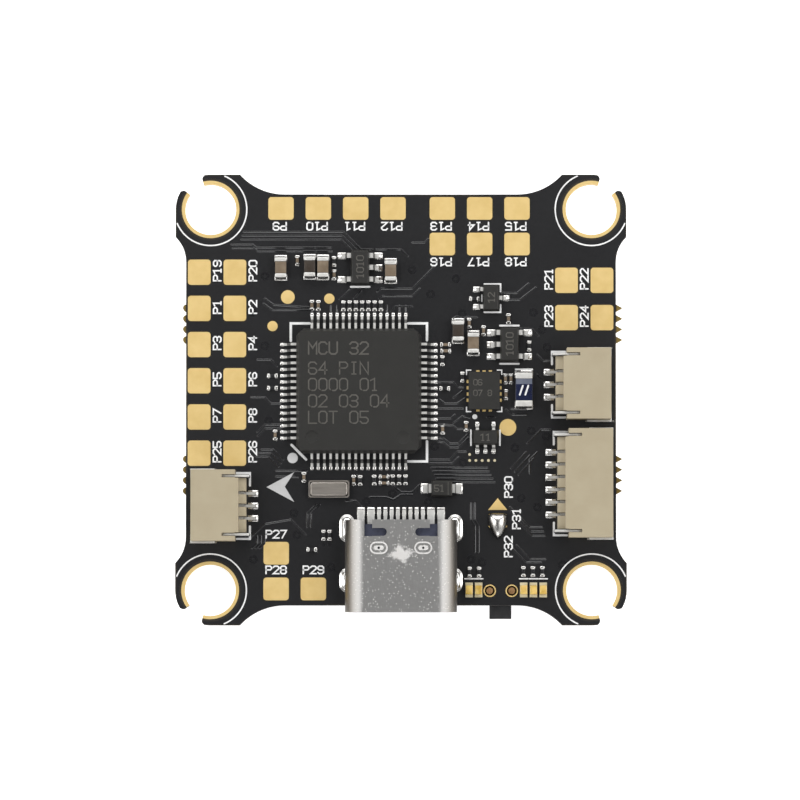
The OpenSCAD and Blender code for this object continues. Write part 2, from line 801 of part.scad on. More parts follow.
module usb_leg_solder() {
    color("#c9c6bf") difference() {
        union() {
            translate([0, 0, board_t - mask_t]) linear_extrude(mask_t + 0.22) leg_slots_2d(0.26);
            translate([0, 0, -0.22]) linear_extrude(0.22 + mask_t) leg_slots_2d(0.26);
        }
        for (s = [-1, 1], leg = usb_legs) translate([s * usb_leg_x, leg[0], -past])
            block([usb_wall + 2 * seam, leg[1] + 2 * seam, 5]);
        usb_section(-seam, usb_front, usb_rear);
    }
}

// ---------- cable sockets ----------

// A socket's own frame: x = 0 at its rear face, mouth towards +X, rows along Y
module socket_frame(s) {
    translate([s[0], s[1], 0]) rotate([0, 0, s[3]]) children();
}

function socket_w(n) = (n - 1) * socket_pitch + socket_extra;

module contact_places(n) {
    for (i = [0 : n - 1]) translate([0, (i - (n - 1) / 2) * socket_pitch, 0]) children();
}

module socket_housing(n) {
    w = socket_w(n);
    inner = w - 2 * ear_step;
    difference() {
        union() {
            translate([ear_start, -w / 2, 0]) cube([socket_depth - ear_start, w, socket_h]);
            translate([ledge_len, -inner / 2, 0]) cube([ear_start - ledge_len + 0.01, inner, socket_h]);
            translate([0, -inner / 2, 0]) cube([ledge_len + 0.01, inner, ledge_h]);
        }
        translate([socket_depth - mouth_depth, -w / 2 + mouth_wall, mouth_floor])
            cube([mouth_depth + past, w - 2 * mouth_wall, mouth_h]);
        contact_places(n) {
            translate([-past, -contact_w / 2 - seam, -past]) cube([past + ledge_len, contact_w + 2 * seam, 5]);
            translate([0, -contact_w / 2 - seam, contact_z - contact_t / 2 - seam])
                cube([2, contact_w + 2 * seam, contact_t + 2 * seam]);
        }
        for (s = [-1, 1]) translate([0, s * (w / 2 - tab_inset), 0]) {
            translate([tab_from - past, -tab_t / 2 - seam, -past]) cube([tab_to - tab_from + past + seam, tab_t + 2 * seam, 5]);
            translate([0, -tab_t / 2 - seam, -past]) cube([tab_foot[1] + seam, tab_t + 2 * seam, past + tab_foot_t + seam]);
            scale_signs(1, s) translate([tab_foot[0] - seam, 0, -past])
                cube([tab_foot[1] - tab_foot[0] + 2 * seam, tab_inset + past, past + tab_foot_t + seam]);
        }
    }
}

module socket_contacts(n) {
    bar_low = contact_z - contact_t / 2;
    bar_high = contact_z + contact_t / 2;
    contact_places(n) translate([0, contact_w / 2, 0]) rotate([90, 0, 0]) linear_extrude(contact_w) polygon([
        [-tail_run, 0], [ledge_len - 0.15, 0], [ledge_len - 0.15, bar_low], [3.6, bar_low],
        [3.6, bar_high], [ledge_len - 0.4, bar_high], [ledge_len - 0.4, tail_t], [-tail_run, tail_t]
    ]);
}

module socket_tabs(n) {
    w = socket_w(n);
    for (s = [-1, 1]) scale_signs(1, s) translate([0, w / 2 - tab_inset, 0]) union() {
        translate([tab_from, -tab_t / 2, 0]) cube([tab_to - tab_from, tab_t, tab_h]);
        translate([tab_from, -tab_t / 2, 0]) cube([tab_foot[1] - tab_from, tab_t, tab_foot_t]);
        translate([tab_foot[0], -tab_t / 2, 0]) cube([tab_foot[1] - tab_foot[0], tab_inset + tab_foot_out + tab_t / 2, tab_foot_t]);
    }
}

module socket_colour() {
    color("#bdb097") children();
}

module rx_socket_housing() {
    socket_colour() on_top() socket_frame(rx_socket) socket_housing(rx_socket[2]);
}

module rx_socket_contacts() {
    color("#d6d3cb") on_top() socket_frame(rx_socket) socket_contacts(rx_socket[2]);
}

module strip_socket_housing() {
    socket_colour() on_top() socket_frame(strip_socket) socket_housing(strip_socket[2]);
}

module strip_socket_contacts() {
    color("#d6d3cb") on_top() socket_frame(strip_socket) socket_contacts(strip_socket[2]);
}

module video_socket_housing() {
    socket_colour() on_top() socket_frame(video_socket) socket_housing(video_socket[2]);
}

module video_socket_contacts() {
    color("#d6d3cb") on_top() socket_frame(video_socket) socket_contacts(video_socket[2]);
}

module esc_left_housing() {
    socket_colour() on_bottom() socket_frame(esc_left) socket_housing(esc_left[2]);
}

module esc_left_contacts() {
    color("#d6d3cb") on_bottom() socket_frame(esc_left) socket_contacts(esc_left[2]);
}

module esc_right_housing() {
    socket_colour() on_bottom() socket_frame(esc_right) socket_housing(esc_right[2]);
}

module esc_right_contacts() {
    color("#d6d3cb") on_bottom() socket_frame(esc_right) socket_contacts(esc_right[2]);
}

module socket_fixing_tabs() {
    color("#d6d3cb") {
        on_top() for (s = [rx_socket, strip_socket, video_socket]) socket_frame(s) socket_tabs(s[2]);
        on_bottom() for (s = [esc_left, esc_right]) socket_frame(s) socket_tabs(s[2]);
    }
}

// ---------- boot switch ----------

// The switch's own frame: x = 0 in its middle, z measured down from the board's underside
module switch_frame() {
    on_bottom() translate([switch_x, 0, 0]) children();
}

module boot_switch_base() {
    base_front = switch_front + sheet_t;
    color("#8f6a3a") switch_frame() union() {
        difference() {
            translate([-switch_w / 2, base_front, 0]) cube([switch_w, switch_rear - base_front, switch_h]);
            translate([-chamber_w / 2, base_front - past, button_z - chamber_h / 2])
                cube([chamber_w, chamber_rear - base_front + past, chamber_h]);
        }
        for (s = [-1, 1]) translate([s * peg_x, peg_y, -board_t + 0.03]) cylinder(r = peg_r, h = board_t);
    }
}

module boot_switch_cover() {
    color("#c9c6bf") switch_frame() difference() {
        union() {
            translate([-switch_w / 2, switch_front, 0.05]) cube([switch_w, sheet_t, switch_h + sheet_t - 0.05]);
            translate([-switch_w / 2, switch_front, switch_h]) cube([switch_w, switch_rear - switch_front, sheet_t]);
        }
        translate([-button_w / 2 - button_gap, switch_front - past, button_z - button_h / 2 - button_gap])
            cube([button_w + 2 * button_gap, 2 * past, button_h + 2 * button_gap]);
    }
}

module boot_switch_dome() {
    bow = sqrt(pow(dome_r - dome_t, 2) - dome_w * dome_w / 4);
    color("#d0cdc4") switch_frame() translate([0, chamber_rear - seam + bow, button_z - dome_h / 2])
        linear_extrude(dome_h) intersection() {
            difference() {
                circle(r = dome_r);
                circle(r = dome_r - dome_t);
            }
            translate([-dome_w / 2, -dome_r - past]) square([dome_w, dome_r]);
        }
}

module boot_switch_terminals() {
    color("#d6d3cb") switch_frame() for (s = [-1, 1]) scale_signs(s, 1) union() {
        translate([switch_w / 2, switch_front + 0.35, 0]) cube([0.45, 0.6, 0.15]);
        translate([switch_w / 2, switch_front + 0.35, 0]) cube([0.12, 0.6, 1.1]);
        translate([switch_terminal_x - 0.25, switch_rear, 0]) cube([0.5, 0.55, 0.15]);
    }
}

module boot_button() {
    flange_front = switch_front + sheet_t + 0.03;
    color("#2d2d30") switch_frame() union() {
        translate([-button_w / 2, button_tip, button_z - button_h / 2])
            cube([button_w, flange_front - button_tip + flange_len, button_h]);
        translate([-flange_w / 2, flange_front, button_z - flange_h / 2]) cube([flange_w, flange_len, flange_h]);
    }
}

// ---------- underside packages ----------

module osd_chip_body() {
    color("#222224") on_bottom() translate(osd_at) moulded_body([osd_size[0], osd_size[1]], 0.1, osd_size[2]);
}

module osd_chip_leads() {
    first = -(osd_leads_per_side - 1) / 2 * osd_pitch;
    color("#c9c6bf") on_bottom() translate(osd_at) for (a = [90, 270], i = [0 : osd_leads_per_side - 1])
        rotate([0, 0, a]) translate([osd_size[1] / 2, first + i * osd_pitch, 0])
            gull_lead(osd_run, 0.6, 0.5, 0.24, 0.13);
}

module inductor_bodies() {
    color("#4a4a4d") on_bottom() placed(inductors) difference() {
        translate([0, 0, 0.1]) linear_extrude(inductor_size[2] - 0.1) round_rect(inductor_size[0], inductor_size[1], 0.5);
        translate([0, 0, inductor_size[2] - 0.12]) difference() {
            cylinder(r = 1.65, h = past);
            translate([0, 0, -past]) cylinder(r = 1.4, h = 3 * past);
        }
    }
}

module inductor_terminals() {
    color("#d2cfc6") on_bottom() placed(inductors) for (s = [-1, 1])
        translate([s * (inductor_size[0] / 2 - 0.45), 0, 0]) block([0.9, 2.6, 0.1]);
}

module buck_chip_bodies() {
    color("#1d1d1f") on_bottom() placed(buck_chips) moulded_body([1.6, 2.9], 0.08, 1.1);
}

module buck_chip_leads() {
    color("#cfccc4") on_bottom() placed(buck_chips)
        side_leads([1.6, 2.9, 1.1], [-1, 0, 1], [-1, 0, 1], sot_pitch, 0.62, 0.4, 0.15);
}

module flash_memory() {
    color("#242426") on_bottom() translate(flash_at) union() {
        block([flash_size[0] - 0.1, flash_size[1], flash_size[2]]);
        for (s = [-1, 1], i = [-1.5 : 1.5]) translate([s * (flash_size[0] / 2 - 0.06), i * 1.27, 0])
            block([0.12, 0.42, 0.2]);
    }
}

module barometer_base() {
    color("#7a5a2e") on_bottom() translate(barometer_at) block([barometer_size[0], barometer_size[1], 0.25]);
}

module barometer_lid() {
    color("#c8c5be") on_bottom() translate(barometer_at) difference() {
        translate([0, 0, 0.25]) linear_extrude(barometer_size[2] - 0.25)
            round_rect(barometer_size[0] - 0.1, barometer_size[1] - 0.1, 0.2);
        translate([0.45, 0.6, barometer_size[2] - 0.15]) cylinder(r = 0.17, h = past);
    }
}

// ---------- nodes ----------

circuit_board();
solder_mask_top();
solder_mask_bottom();
slot_plating();
wire_pads();
test_pads();
selector_pads();
solder_bridge();
mcu_body();
mcu_leads();
imu_body();
imu_lands();
regulator_bodies();
regulator_leads();
transistor_body();
transistor_leads();
level_shifter_body();
level_shifter_leads();
crystal_bases();
crystal_lids();
diode_body();
diode_terminals();
fuse_body();
fuse_terminals();
capacitor_bodies();
capacitor_terminals();
resistor_bodies();
resistor_terminals();
led_bases();
led_lenses();
usb_shell();
usb_housing();
usb_mid_plate();
usb_contacts();
usb_leg_solder();
rx_socket_housing();
rx_socket_contacts();
strip_socket_housing();
strip_socket_contacts();
video_socket_housing();
video_socket_contacts();
esc_left_housing();
esc_left_contacts();
esc_right_housing();
esc_right_contacts();
socket_fixing_tabs();
boot_switch_base();
boot_switch_cover();
boot_switch_dome();
boot_switch_terminals();
boot_button();
osd_chip_body();
osd_chip_leads();
inductor_bodies();
inductor_terminals();
buck_chip_bodies();
buck_chip_leads();
flash_memory();
barometer_base();
barometer_lid();
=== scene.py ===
"""The looks of the flight controller board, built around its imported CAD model."""
import json
import math
import random

import bmesh
import bpy
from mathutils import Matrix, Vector


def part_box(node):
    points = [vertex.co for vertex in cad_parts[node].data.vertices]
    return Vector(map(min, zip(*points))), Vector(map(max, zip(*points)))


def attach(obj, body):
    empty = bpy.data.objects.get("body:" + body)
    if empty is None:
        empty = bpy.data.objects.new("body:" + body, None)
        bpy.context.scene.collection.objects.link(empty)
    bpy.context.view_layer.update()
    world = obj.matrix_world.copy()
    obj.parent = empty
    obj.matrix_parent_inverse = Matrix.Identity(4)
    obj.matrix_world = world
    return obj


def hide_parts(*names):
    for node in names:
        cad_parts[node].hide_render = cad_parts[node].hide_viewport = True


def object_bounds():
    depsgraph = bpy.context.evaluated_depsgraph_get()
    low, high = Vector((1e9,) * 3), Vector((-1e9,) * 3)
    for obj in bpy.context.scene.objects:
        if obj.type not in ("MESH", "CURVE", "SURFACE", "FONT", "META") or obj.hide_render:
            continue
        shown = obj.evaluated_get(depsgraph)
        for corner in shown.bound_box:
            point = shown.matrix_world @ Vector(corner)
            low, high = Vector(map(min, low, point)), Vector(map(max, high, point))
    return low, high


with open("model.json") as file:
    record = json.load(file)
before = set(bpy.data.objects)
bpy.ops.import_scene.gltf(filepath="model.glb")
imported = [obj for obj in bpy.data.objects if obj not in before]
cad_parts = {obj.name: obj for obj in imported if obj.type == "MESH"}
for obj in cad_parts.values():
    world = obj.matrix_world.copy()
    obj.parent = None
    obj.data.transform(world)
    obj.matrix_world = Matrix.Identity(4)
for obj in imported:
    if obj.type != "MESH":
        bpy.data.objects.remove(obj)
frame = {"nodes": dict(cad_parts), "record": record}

CAD_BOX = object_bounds()
MM = 0.001
rng = random.Random(7)


# ---------------------------------------------------------------- places from the frame

def islands(node):
    """The boxes of a node's separate solids, in millimetres: [(low, high), ...]."""
    bm = bmesh.new()
    bm.from_mesh(frame["nodes"][node].data)
    bmesh.ops.remove_doubles(bm, verts=bm.verts, dist=1e-7)
    found, seen = [], set()
    for start in bm.verts:
        if start.index in seen:
            continue
        stack, group = [start], []
        seen.add(start.index)
        while stack:
            v = stack.pop()
            group.append(v.co / MM)
            for e in v.link_edges:
                o = e.other_vert(v)
                if o.index not in seen:
                    seen.add(o.index)
                    stack.append(o)
        low = Vector([min(c[i] for c in group) for i in range(3)])
        high = Vector([max(c[i] for c in group) for i in range(3)])
        found.append((low, high))
    bm.free()
    return found


def node_box(node):
    low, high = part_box(node)
    return low / MM, high / MM


def middle(box):
    return (box[0] + box[1]) / 2


TOP = node_box("solder_mask_top")[1].z
UNDER = node_box("solder_mask_bottom")[0].z
SOCKETS = ("rx_socket", "strip_socket", "video_socket", "esc_left", "esc_right")
SIDE_X = 17.2  # the board's side edge, which only the stubs of the breakaway teeth pass
LOBE_Y = 10.5  # where the corner lobes begin


# ---------------------------------------------------------------- materials

def new_material(name):
    mat = bpy.data.materials.new(name)
    mat.use_nodes = True
    tree = mat.node_tree
    return mat, tree, tree.nodes["Principled BSDF"]


def coordinates(tree, stretch=(1, 1, 1)):
    place = tree.nodes.new("ShaderNodeTexCoord")
    mapping = tree.nodes.new("ShaderNodeMapping")
    mapping.inputs["Scale"].default_value = [s / MM for s in stretch]
    tree.links.new(place.outputs["Object"], mapping.inputs["Vector"])
    return mapping.outputs["Vector"]


def noise(tree, vector, scale, detail=4.0, rough=0.55):
    node = tree.nodes.new("ShaderNodeTexNoise")
    node.inputs["Scale"].default_value = scale
    node.inputs["Detail"].default_value = detail
    node.inputs["Roughness"].default_value = rough
    tree.links.new(vector, node.inputs["Vector"])
    return node.outputs["Fac"]


def ramp(tree, value, stops):
    node = tree.nodes.new("ShaderNodeValToRGB")
    bar = node.color_ramp.elements
    while len(bar) < len(stops):
        bar.new(0.5)
    for element, (at, colour) in zip(bar, stops):
        element.position = at
        element.color = (*colour, 1)
    tree.links.new(value, node.inputs["Fac"])
    return node.outputs["Color"]


def to_range(tree, value, low, high, from_low=0.3, from_high=0.7):
    node = tree.nodes.new("ShaderNodeMapRange")
    node.inputs["From Min"].default_value = from_low
    node.inputs["From Max"].default_value = from_high
    node.inputs["To Min"].default_value = low
    node.inputs["To Max"].default_value = high
    tree.links.new(value, node.inputs["Value"])
    return node.outputs["Result"]


def bump(tree, height, strength, distance_mm):
    node = tree.nodes.new("ShaderNodeBump")
    node.inputs["Strength"].default_value = strength
    node.inputs["Distance"].default_value = distance_mm * MM
    tree.links.new(height, node.inputs["Height"])
    return node.outputs["Normal"]


def math_node(tree, operation, *values):
    """A math node whose inputs are sockets or plain numbers."""
    node = tree.nodes.new("ShaderNodeMath")
    node.operation = operation
    for entry, value in zip(node.inputs, values):
        if isinstance(value, (int, float)):
            entry.default_value = value
        else:
            tree.links.new(value, entry)
    return node.outputs[0]


def vector_node(tree, operation, vector, other=(0, 0, 0)):
    """A vector math node on a socket and a plain vector."""
    node = tree.nodes.new("ShaderNodeVectorMath")
    node.operation = operation
    tree.links.new(vector, node.inputs[0])
    node.inputs[1].default_value = other
    return node.outputs["Value" if operation == "DOT_PRODUCT" else "Vector"]


def mix_node(tree, blend, first, second):
    """A colour mix of two sockets, at full strength until its factor is linked."""
    node = tree.nodes.new("ShaderNodeMix")
    node.data_type = "RGBA"
    node.blend_type = blend
    node.inputs["Factor"].default_value = 1.0
    tree.links.new(first, node.inputs["A"])
    tree.links.new(second, node.inputs["B"])
    return node


def reach_along(tree, vector, axis):
    """How far a vector reaches along an axis, in either direction."""
    split = tree.nodes.new("ShaderNodeSeparateXYZ")
    tree.links.new(vector, split.inputs["Vector"])
    return math_node(tree, "ABSOLUTE", split.outputs[axis])


def finish(name, dark, light, rough=(0.4, 0.5), metallic=0.0, patch=1.5, grain=12.0, depth=0.004,
           stretch=(1, 1, 1), coat=0.0, strength=0.5):
    """A surface with slow colour patches, a fine grain and a roughness that follows the grain."""
    mat, tree, shader = new_material(name)
    vector = coordinates(tree, stretch)
    slow = noise(tree, vector, patch, 3.0)
    fine = noise(tree, vector, grain, 6.0, 0.65)
    tree.links.new(ramp(tree, slow, [(0.3, dark), (0.7, light)]), shader.inputs["Base Color"])
    tree.links.new(to_range(tree, fine, *rough), shader.inputs["Roughness"])
    tree.links.new(bump(tree, fine, strength, depth), shader.inputs["Normal"])
    shader.inputs["Metallic"].default_value = metallic
    shader.inputs["Coat Weight"].default_value = coat
    shader.inputs["Coat Roughness"].default_value = 0.2
    return mat


def shade_flanks(mat, steep, level, amount, tint=(1, 1, 1), sideways=False):
    """Painted shade: darkens a metal's colour where it turns away from level, or only sideways, standing in
    for the shade on its flanks.
    """
    tree = mat.node_tree
    colour = tree.nodes["Principled BSDF"].inputs["Base Color"]
    here = tree.nodes.new("ShaderNodeNewGeometry")
    facing = reach_along(tree, here.outputs["Normal"], "X" if sideways else "Z")
    if sideways:
        facing = math_node(tree, "SUBTRACT", 1, facing)
    painted_flank_shade = ramp(tree, facing, [(steep, [amount * t for t in tint]), (level, (1, 1, 1))])
    mixed = mix_node(tree, "MULTIPLY", colour.links[0].from_socket, painted_flank_shade)
    tree.links.new(mixed.outputs["Result"], colour)


def laminate_material():
    """Glass cloth in resin, in fine layers: bare and golden on the breakaway teeth, dark elsewhere."""
    mat, tree, shader = new_material("laminate")
    vector = coordinates(tree)
    wave = tree.nodes.new("ShaderNodeTexWave")
    wave.bands_direction = "Z"
    wave.inputs["Scale"].default_value = 1.6
    wave.inputs["Distortion"].default_value = 1.2
    wave.inputs["Detail"].default_value = 3.0
    tree.links.new(vector, wave.inputs["Vector"])
    fibre = noise(tree, vector, 9.0, 5.0, 0.7)
    cloth = math_node(tree, "MULTIPLY", wave.outputs["Fac"], fibre)
    masked = ramp(tree, cloth, [(0.05, (0.016, 0.013, 0.008)), (0.55, (0.040, 0.032, 0.018))])
    bare = ramp(tree, cloth, [(0.05, (0.16, 0.105, 0.012)), (0.55, (0.38, 0.26, 0.035))])
    past_side = to_range(tree, reach_along(tree, vector, "X"), 0.0, 1.0, SIDE_X - 0.02, SIDE_X + 0.1)
    off_lobes = to_range(tree, reach_along(tree, vector, "Y"), 1.0, 0.0, LOBE_Y, LOBE_Y + 0.5)
    blend = mix_node(tree, "MIX", masked, bare)
    tree.links.new(math_node(tree, "MULTIPLY", past_side, off_lobes), blend.inputs["Factor"])
    tree.links.new(blend.outputs["Result"], shader.inputs["Base Color"])
    tree.links.new(to_range(tree, fibre, 0.5, 0.8), shader.inputs["Roughness"])
    tree.links.new(bump(tree, fibre, 0.6, 0.02), shader.inputs["Normal"])
    return mat


def steel_shell_material():
    """Nickel-plated sheet: fine grain, pale specks and a scuffed patch near the rear slots."""
    mat, tree, shader = new_material("usb_steel")
    vector = coordinates(tree)
    grain = noise(tree, vector, 16.0, 8.0, 0.7)
    specks = tree.nodes.new("ShaderNodeTexVoronoi")
    specks.inputs["Scale"].default_value = 4.2
    tree.links.new(vector, specks.inputs["Vector"])
    dot = to_range(tree, specks.outputs["Distance"], 0.9, 0.0, 0.08, 0.24)
    shell = node_box("usb_shell")
    offset = vector_node(tree, "SUBTRACT", vector, (0.05, shell[1].y - 2.72, shell[1].z))
    turned = tree.nodes.new("ShaderNodeMapping")
    turned.inputs["Scale"].default_value = (0.8, 1.1, 1.0)
    turned.inputs["Rotation"].default_value = (0, 0, -0.25)
    tree.links.new(offset, turned.inputs["Vector"])
    reaches = vector_node(tree, "ABSOLUTE", turned.outputs["Vector"])
    diamond = vector_node(tree, "DOT_PRODUCT", reaches, (1, 1, 1))
    ragged = math_node(tree, "MULTIPLY_ADD", noise(tree, vector, 2.4, 6.0, 0.8), 2.6, diamond)
    scuff = to_range(tree, ragged, 0.7, 0.0, 1.9, 2.25)
    worn = math_node(tree, "MAXIMUM", dot, scuff)
    tree.links.new(ramp(tree, worn, [(0.0, (0.53, 0.525, 0.515)), (1.0, (0.96, 0.94, 0.91))]),
                   shader.inputs["Base Color"])
    tree.links.new(to_range(tree, worn, 0.38, 0.62, 0.0, 1.0), shader.inputs["Roughness"])
    tree.links.new(bump(tree, grain, 0.35, 0.004), shader.inputs["Normal"])
    shader.inputs["Metallic"].default_value = 1.0
    return mat


def resin_material():
    """Amber phosphor under clear resin."""
    mat = finish("led_resin", (0.52, 0.33, 0.06), (0.85, 0.62, 0.22), (0.12, 0.25), patch=1.1, grain=9.0,
                 depth=0.002, coat=0.6)
    shader = mat.node_tree.nodes["Principled BSDF"]
    shader.inputs["Subsurface Weight"].default_value = 0.25
    shader.inputs["Subsurface Radius"].default_value = (0.0006, 0.0004, 0.0001)
    return mat


MATERIALS = {}


def add_finish(name, *look, **more):
    MATERIALS[name] = finish(name, *look, **more)


MATERIALS["laminate"] = laminate_material()
add_finish("solder_mask", (0.0058, 0.0058, 0.0068), (0.0078, 0.0078, 0.0090), (0.32, 0.42), patch=0.35,
           grain=5.0, depth=0.003, coat=0.25, strength=0.35)
add_finish("gold_plating", (0.70, 0.50, 0.19), (0.77, 0.57, 0.24), (0.40, 0.54), 0.35, patch=0.9, grain=9.0,
           depth=0.004)
add_finish("solder", (0.62, 0.60, 0.57), (0.80, 0.79, 0.77), (0.18, 0.34), 1.0, patch=1.2, grain=3.0,
           depth=0.005, strength=0.3)
add_finish("tinned_lead", (0.66, 0.65, 0.62), (0.80, 0.79, 0.76), (0.32, 0.48), 0.5, patch=2.0, grain=11.0,
           depth=0.004)
add_finish("chip_epoxy", (0.0075, 0.0070, 0.0055), (0.0100, 0.0094, 0.0076), (0.48, 0.64), patch=0.6,
           grain=20.0, depth=0.006, strength=0.7)
add_finish("crystal_ceramic", (0.030, 0.026, 0.022), (0.045, 0.040, 0.035), (0.5, 0.7))
add_finish("crystal_lid", (0.42, 0.38, 0.34), (0.55, 0.51, 0.46), (0.30, 0.46), 1.0, stretch=(0.3, 3, 1),
           grain=8.0)
add_finish("fuse_glaze", (0.008, 0.011, 0.034), (0.013, 0.018, 0.052), (0.14, 0.26), coat=0.5)
add_finish("capacitor_ceramic", (0.13, 0.095, 0.062), (0.21, 0.16, 0.11), (0.32, 0.48), patch=1.3,
           grain=14.0)
add_finish("resistor_film", (0.010, 0.010, 0.011), (0.022, 0.022, 0.024), (0.22, 0.36), coat=0.3)
add_finish("led_substrate", (0.50, 0.44, 0.28), (0.66, 0.60, 0.42), (0.35, 0.5))
MATERIALS["led_resin"] = resin_material()
MATERIALS["usb_steel"] = steel_shell_material()
add_finish("usb_insulator", (0.030, 0.034, 0.060), (0.046, 0.052, 0.085), (0.4, 0.55), grain=15.0)
add_finish("socket_plastic", (0.36, 0.305, 0.205), (0.39, 0.335, 0.23), (0.46, 0.60), patch=0.5, grain=13.0,
           depth=0.005)
add_finish("switch_plastic", (0.20, 0.10, 0.035), (0.32, 0.18, 0.07), (0.4, 0.55))
add_finish("switch_steel", (0.58, 0.57, 0.55), (0.74, 0.73, 0.71), (0.24, 0.36), 1.0, stretch=(0.4, 4, 1))
add_finish("button_plastic", (0.020, 0.020, 0.022), (0.034, 0.034, 0.037), (0.42, 0.58))
add_finish("ferrite", (0.045, 0.045, 0.047), (0.080, 0.080, 0.083), (0.5, 0.75), 0.2, grain=10.0,
           depth=0.02)
add_finish("sensor_base", (0.14, 0.085, 0.03), (0.22, 0.14, 0.06), (0.4, 0.6))
add_finish("sensor_lid", (0.52, 0.51, 0.49), (0.70, 0.69, 0.66), (0.26, 0.40), 1.0)
# Painted shade: the leads, the solder and the sideways flanks of the shell are darkened in colour where they
# turn away from level, the shell's with a warm tint.
shade_flanks(MATERIALS["tinned_lead"], 0.6, 0.93, 0.10)
shade_flanks(MATERIALS["solder"], 0.35, 0.85, 0.22)
shade_flanks(MATERIALS["usb_steel"], 0.3, 0.97, 0.33, (1.0, 0.94, 0.87), sideways=True)
DARK_CERAMIC = finish("dark_ceramic", (0.028, 0.020, 0.014), (0.045, 0.033, 0.024), (0.3, 0.45), patch=1.3,
                      grain=14.0)
# Painted highlight: a lighter, part-metal copy of the shell's steel for the catches' rims and islands, so
# they read bright against the shell's mid-grey top.
PAINTED_HIGHLIGHT_STEEL = finish("painted_highlight_steel", (0.62, 0.61, 0.59), (0.74, 0.73, 0.71), (0.5, 0.65), 0.35)
WHITE_INK = finish("white_ink", (0.72, 0.72, 0.72), (0.86, 0.86, 0.85), (0.45, 0.6), patch=1.0, grain=14.0)
PALE_INK = finish("pale_ink", (0.46, 0.46, 0.46), (0.53, 0.53, 0.53), (0.45, 0.6), patch=1.0, grain=14.0)
GREY_INK = finish("grey_ink", (0.062, 0.058, 0.050), (0.082, 0.077, 0.068), (0.5, 0.65), patch=2.0,
                  grain=16.0)
# A pale blue-grey tone for the band across the top end of the fuse.
FUSE_BAND_TONE = finish("fuse_band_tone", (0.10, 0.115, 0.155), (0.14, 0.155, 0.20), (0.25, 0.4))
MASK_RELIEF = finish("mask_relief", (0.0078, 0.0078, 0.0090), (0.0112, 0.0112, 0.0128), (0.22, 0.30),
                     patch=0.8, grain=6.0, depth=0.002, coat=0.5)


# ---------------------------------------------------------------- pieces

def make_piece(name, bm, slot_name, material=None, body="board", smooth=35):
    """A piece, made from a bmesh in millimetres, that rides on a body."""
    mesh = bpy.data.meshes.new(name)
    bmesh.ops.recalc_face_normals(bm, faces=bm.faces)
    bmesh.ops.scale(bm, vec=(MM, MM, MM), verts=bm.verts)
    bm.to_mesh(mesh)
    bm.free()
    for face in mesh.polygons:
        face.use_smooth = True
    mesh.set_sharp_from_angle(angle=math.radians(smooth))
    piece = bpy.data.objects.new(name, mesh)
    bpy.context.scene.collection.objects.link(piece)
    mesh.materials.append(material or MATERIALS[slot_name])
    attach(piece, body)
    return piece


def soften(node, edge, segments=2, keep_angle=28):
    """Replaces a CAD node with the same shape, its edges rounded as moulded or plated parts have them."""
    bm = bmesh.new()
    bm.from_mesh(frame["nodes"][node].data)
    bmesh.ops.scale(bm, vec=(1 / MM,) * 3, verts=bm.verts)
    bmesh.ops.remove_doubles(bm, verts=bm.verts, dist=1e-4)
    bmesh.ops.dissolve_limit(bm, angle_limit=math.radians(0.6), verts=bm.verts, edges=bm.edges)
    corners = [e for e in bm.edges if len(e.link_faces) == 2
               and e.calc_face_angle(0) > math.radians(keep_angle)]
    bmesh.ops.bevel(bm, geom=corners, offset=edge, offset_type="OFFSET", segments=segments, profile=0.6,
                    affect="EDGES", clamp_overlap=True)
    body = "button" if node == "boot_button" else "board"
    piece = make_piece(node + ".shape", bm, SLOTS[node], body=body, smooth=40)
    weighted = piece.modifiers.new("normals", "WEIGHTED_NORMAL")
    weighted.keep_sharp = True
    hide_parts(node)
    return piece


SLOTS = {row["node"]: row["material_slot"] for row in frame["record"]["subparts"]}


def wall(bm, *rings):
    """The faces between each closed ring of vertices and the next."""
    for one, other in zip(rings, rings[1:]):
        for i in range(len(one)):
            j = (i + 1) % len(one)
            bm.faces.new((one[i], one[j], other[j], other[i]))


def prism(bm, low, high):
    """A solid between two rings of vertices."""
    wall(bm, low, high)
    bm.faces.new(high)
    bm.faces.new(low[::-1])


def ribbon(bm, points, width, z, height, closed=False, shrink=0.0, round_ends=True):
    """A raised line of even width along points, in millimetres; shrink slopes its sides."""
    pts = [Vector(p[:2]) for p in points]
    count = len(pts)
    left, right = [], []
    for i, p in enumerate(pts):
        before = pts[i - 1] if (i or closed) else None
        after = pts[(i + 1) % count] if (i < count - 1 or closed) else None
        d1 = (p - before).normalized() if before is not None else (after - p).normalized()
        d2 = (after - p).normalized() if after is not None else d1
        normal = Vector((-d1.y - d2.y, d1.x + d2.x)).normalized()
        reach = 1 / max(0.4, normal.dot(Vector((-d1.y, d1.x))))
        left.append((p, normal * reach))
        right.append((p, -normal * reach))
    rings = [left, right]
    if not closed:
        steps = 5 if round_ends else 0

        def end_cap(centre, direction):
            base = math.atan2(direction.y, direction.x) + math.pi / 2
            angles = [base - math.pi * k / (steps + 1) for k in range(1, steps + 1)]
            return [(centre, Vector((math.cos(angle), math.sin(angle)))) for angle in angles]

        first = (pts[1] - pts[0]).normalized()
        last = (pts[-1] - pts[-2]).normalized()
        rings = [left + end_cap(pts[-1], last) + right[::-1] + end_cap(pts[0], -first)]

    def lifted(half, height_at):
        return [[bm.verts.new((*(c + n * half), height_at)) for c, n in ring] for ring in rings]

    low, high = lifted(width / 2, z), lifted(width / 2 - shrink, z + height)
    if not closed:
        prism(bm, low[0], high[0])
        return
    wall(bm, high[0], high[1])
    wall(bm, low[0], low[1])
    for k in (0, 1):
        wall(bm, low[k], high[k])


def arc(cx, cy, radius, start, end, steps=24):
    """Points along an arc, from one angle to another in degrees."""
    angles = [math.radians(start + (end - start) * i / steps) for i in range(steps + 1)]
    return [(cx + radius * math.cos(angle), cy + radius * math.sin(angle)) for angle in angles]


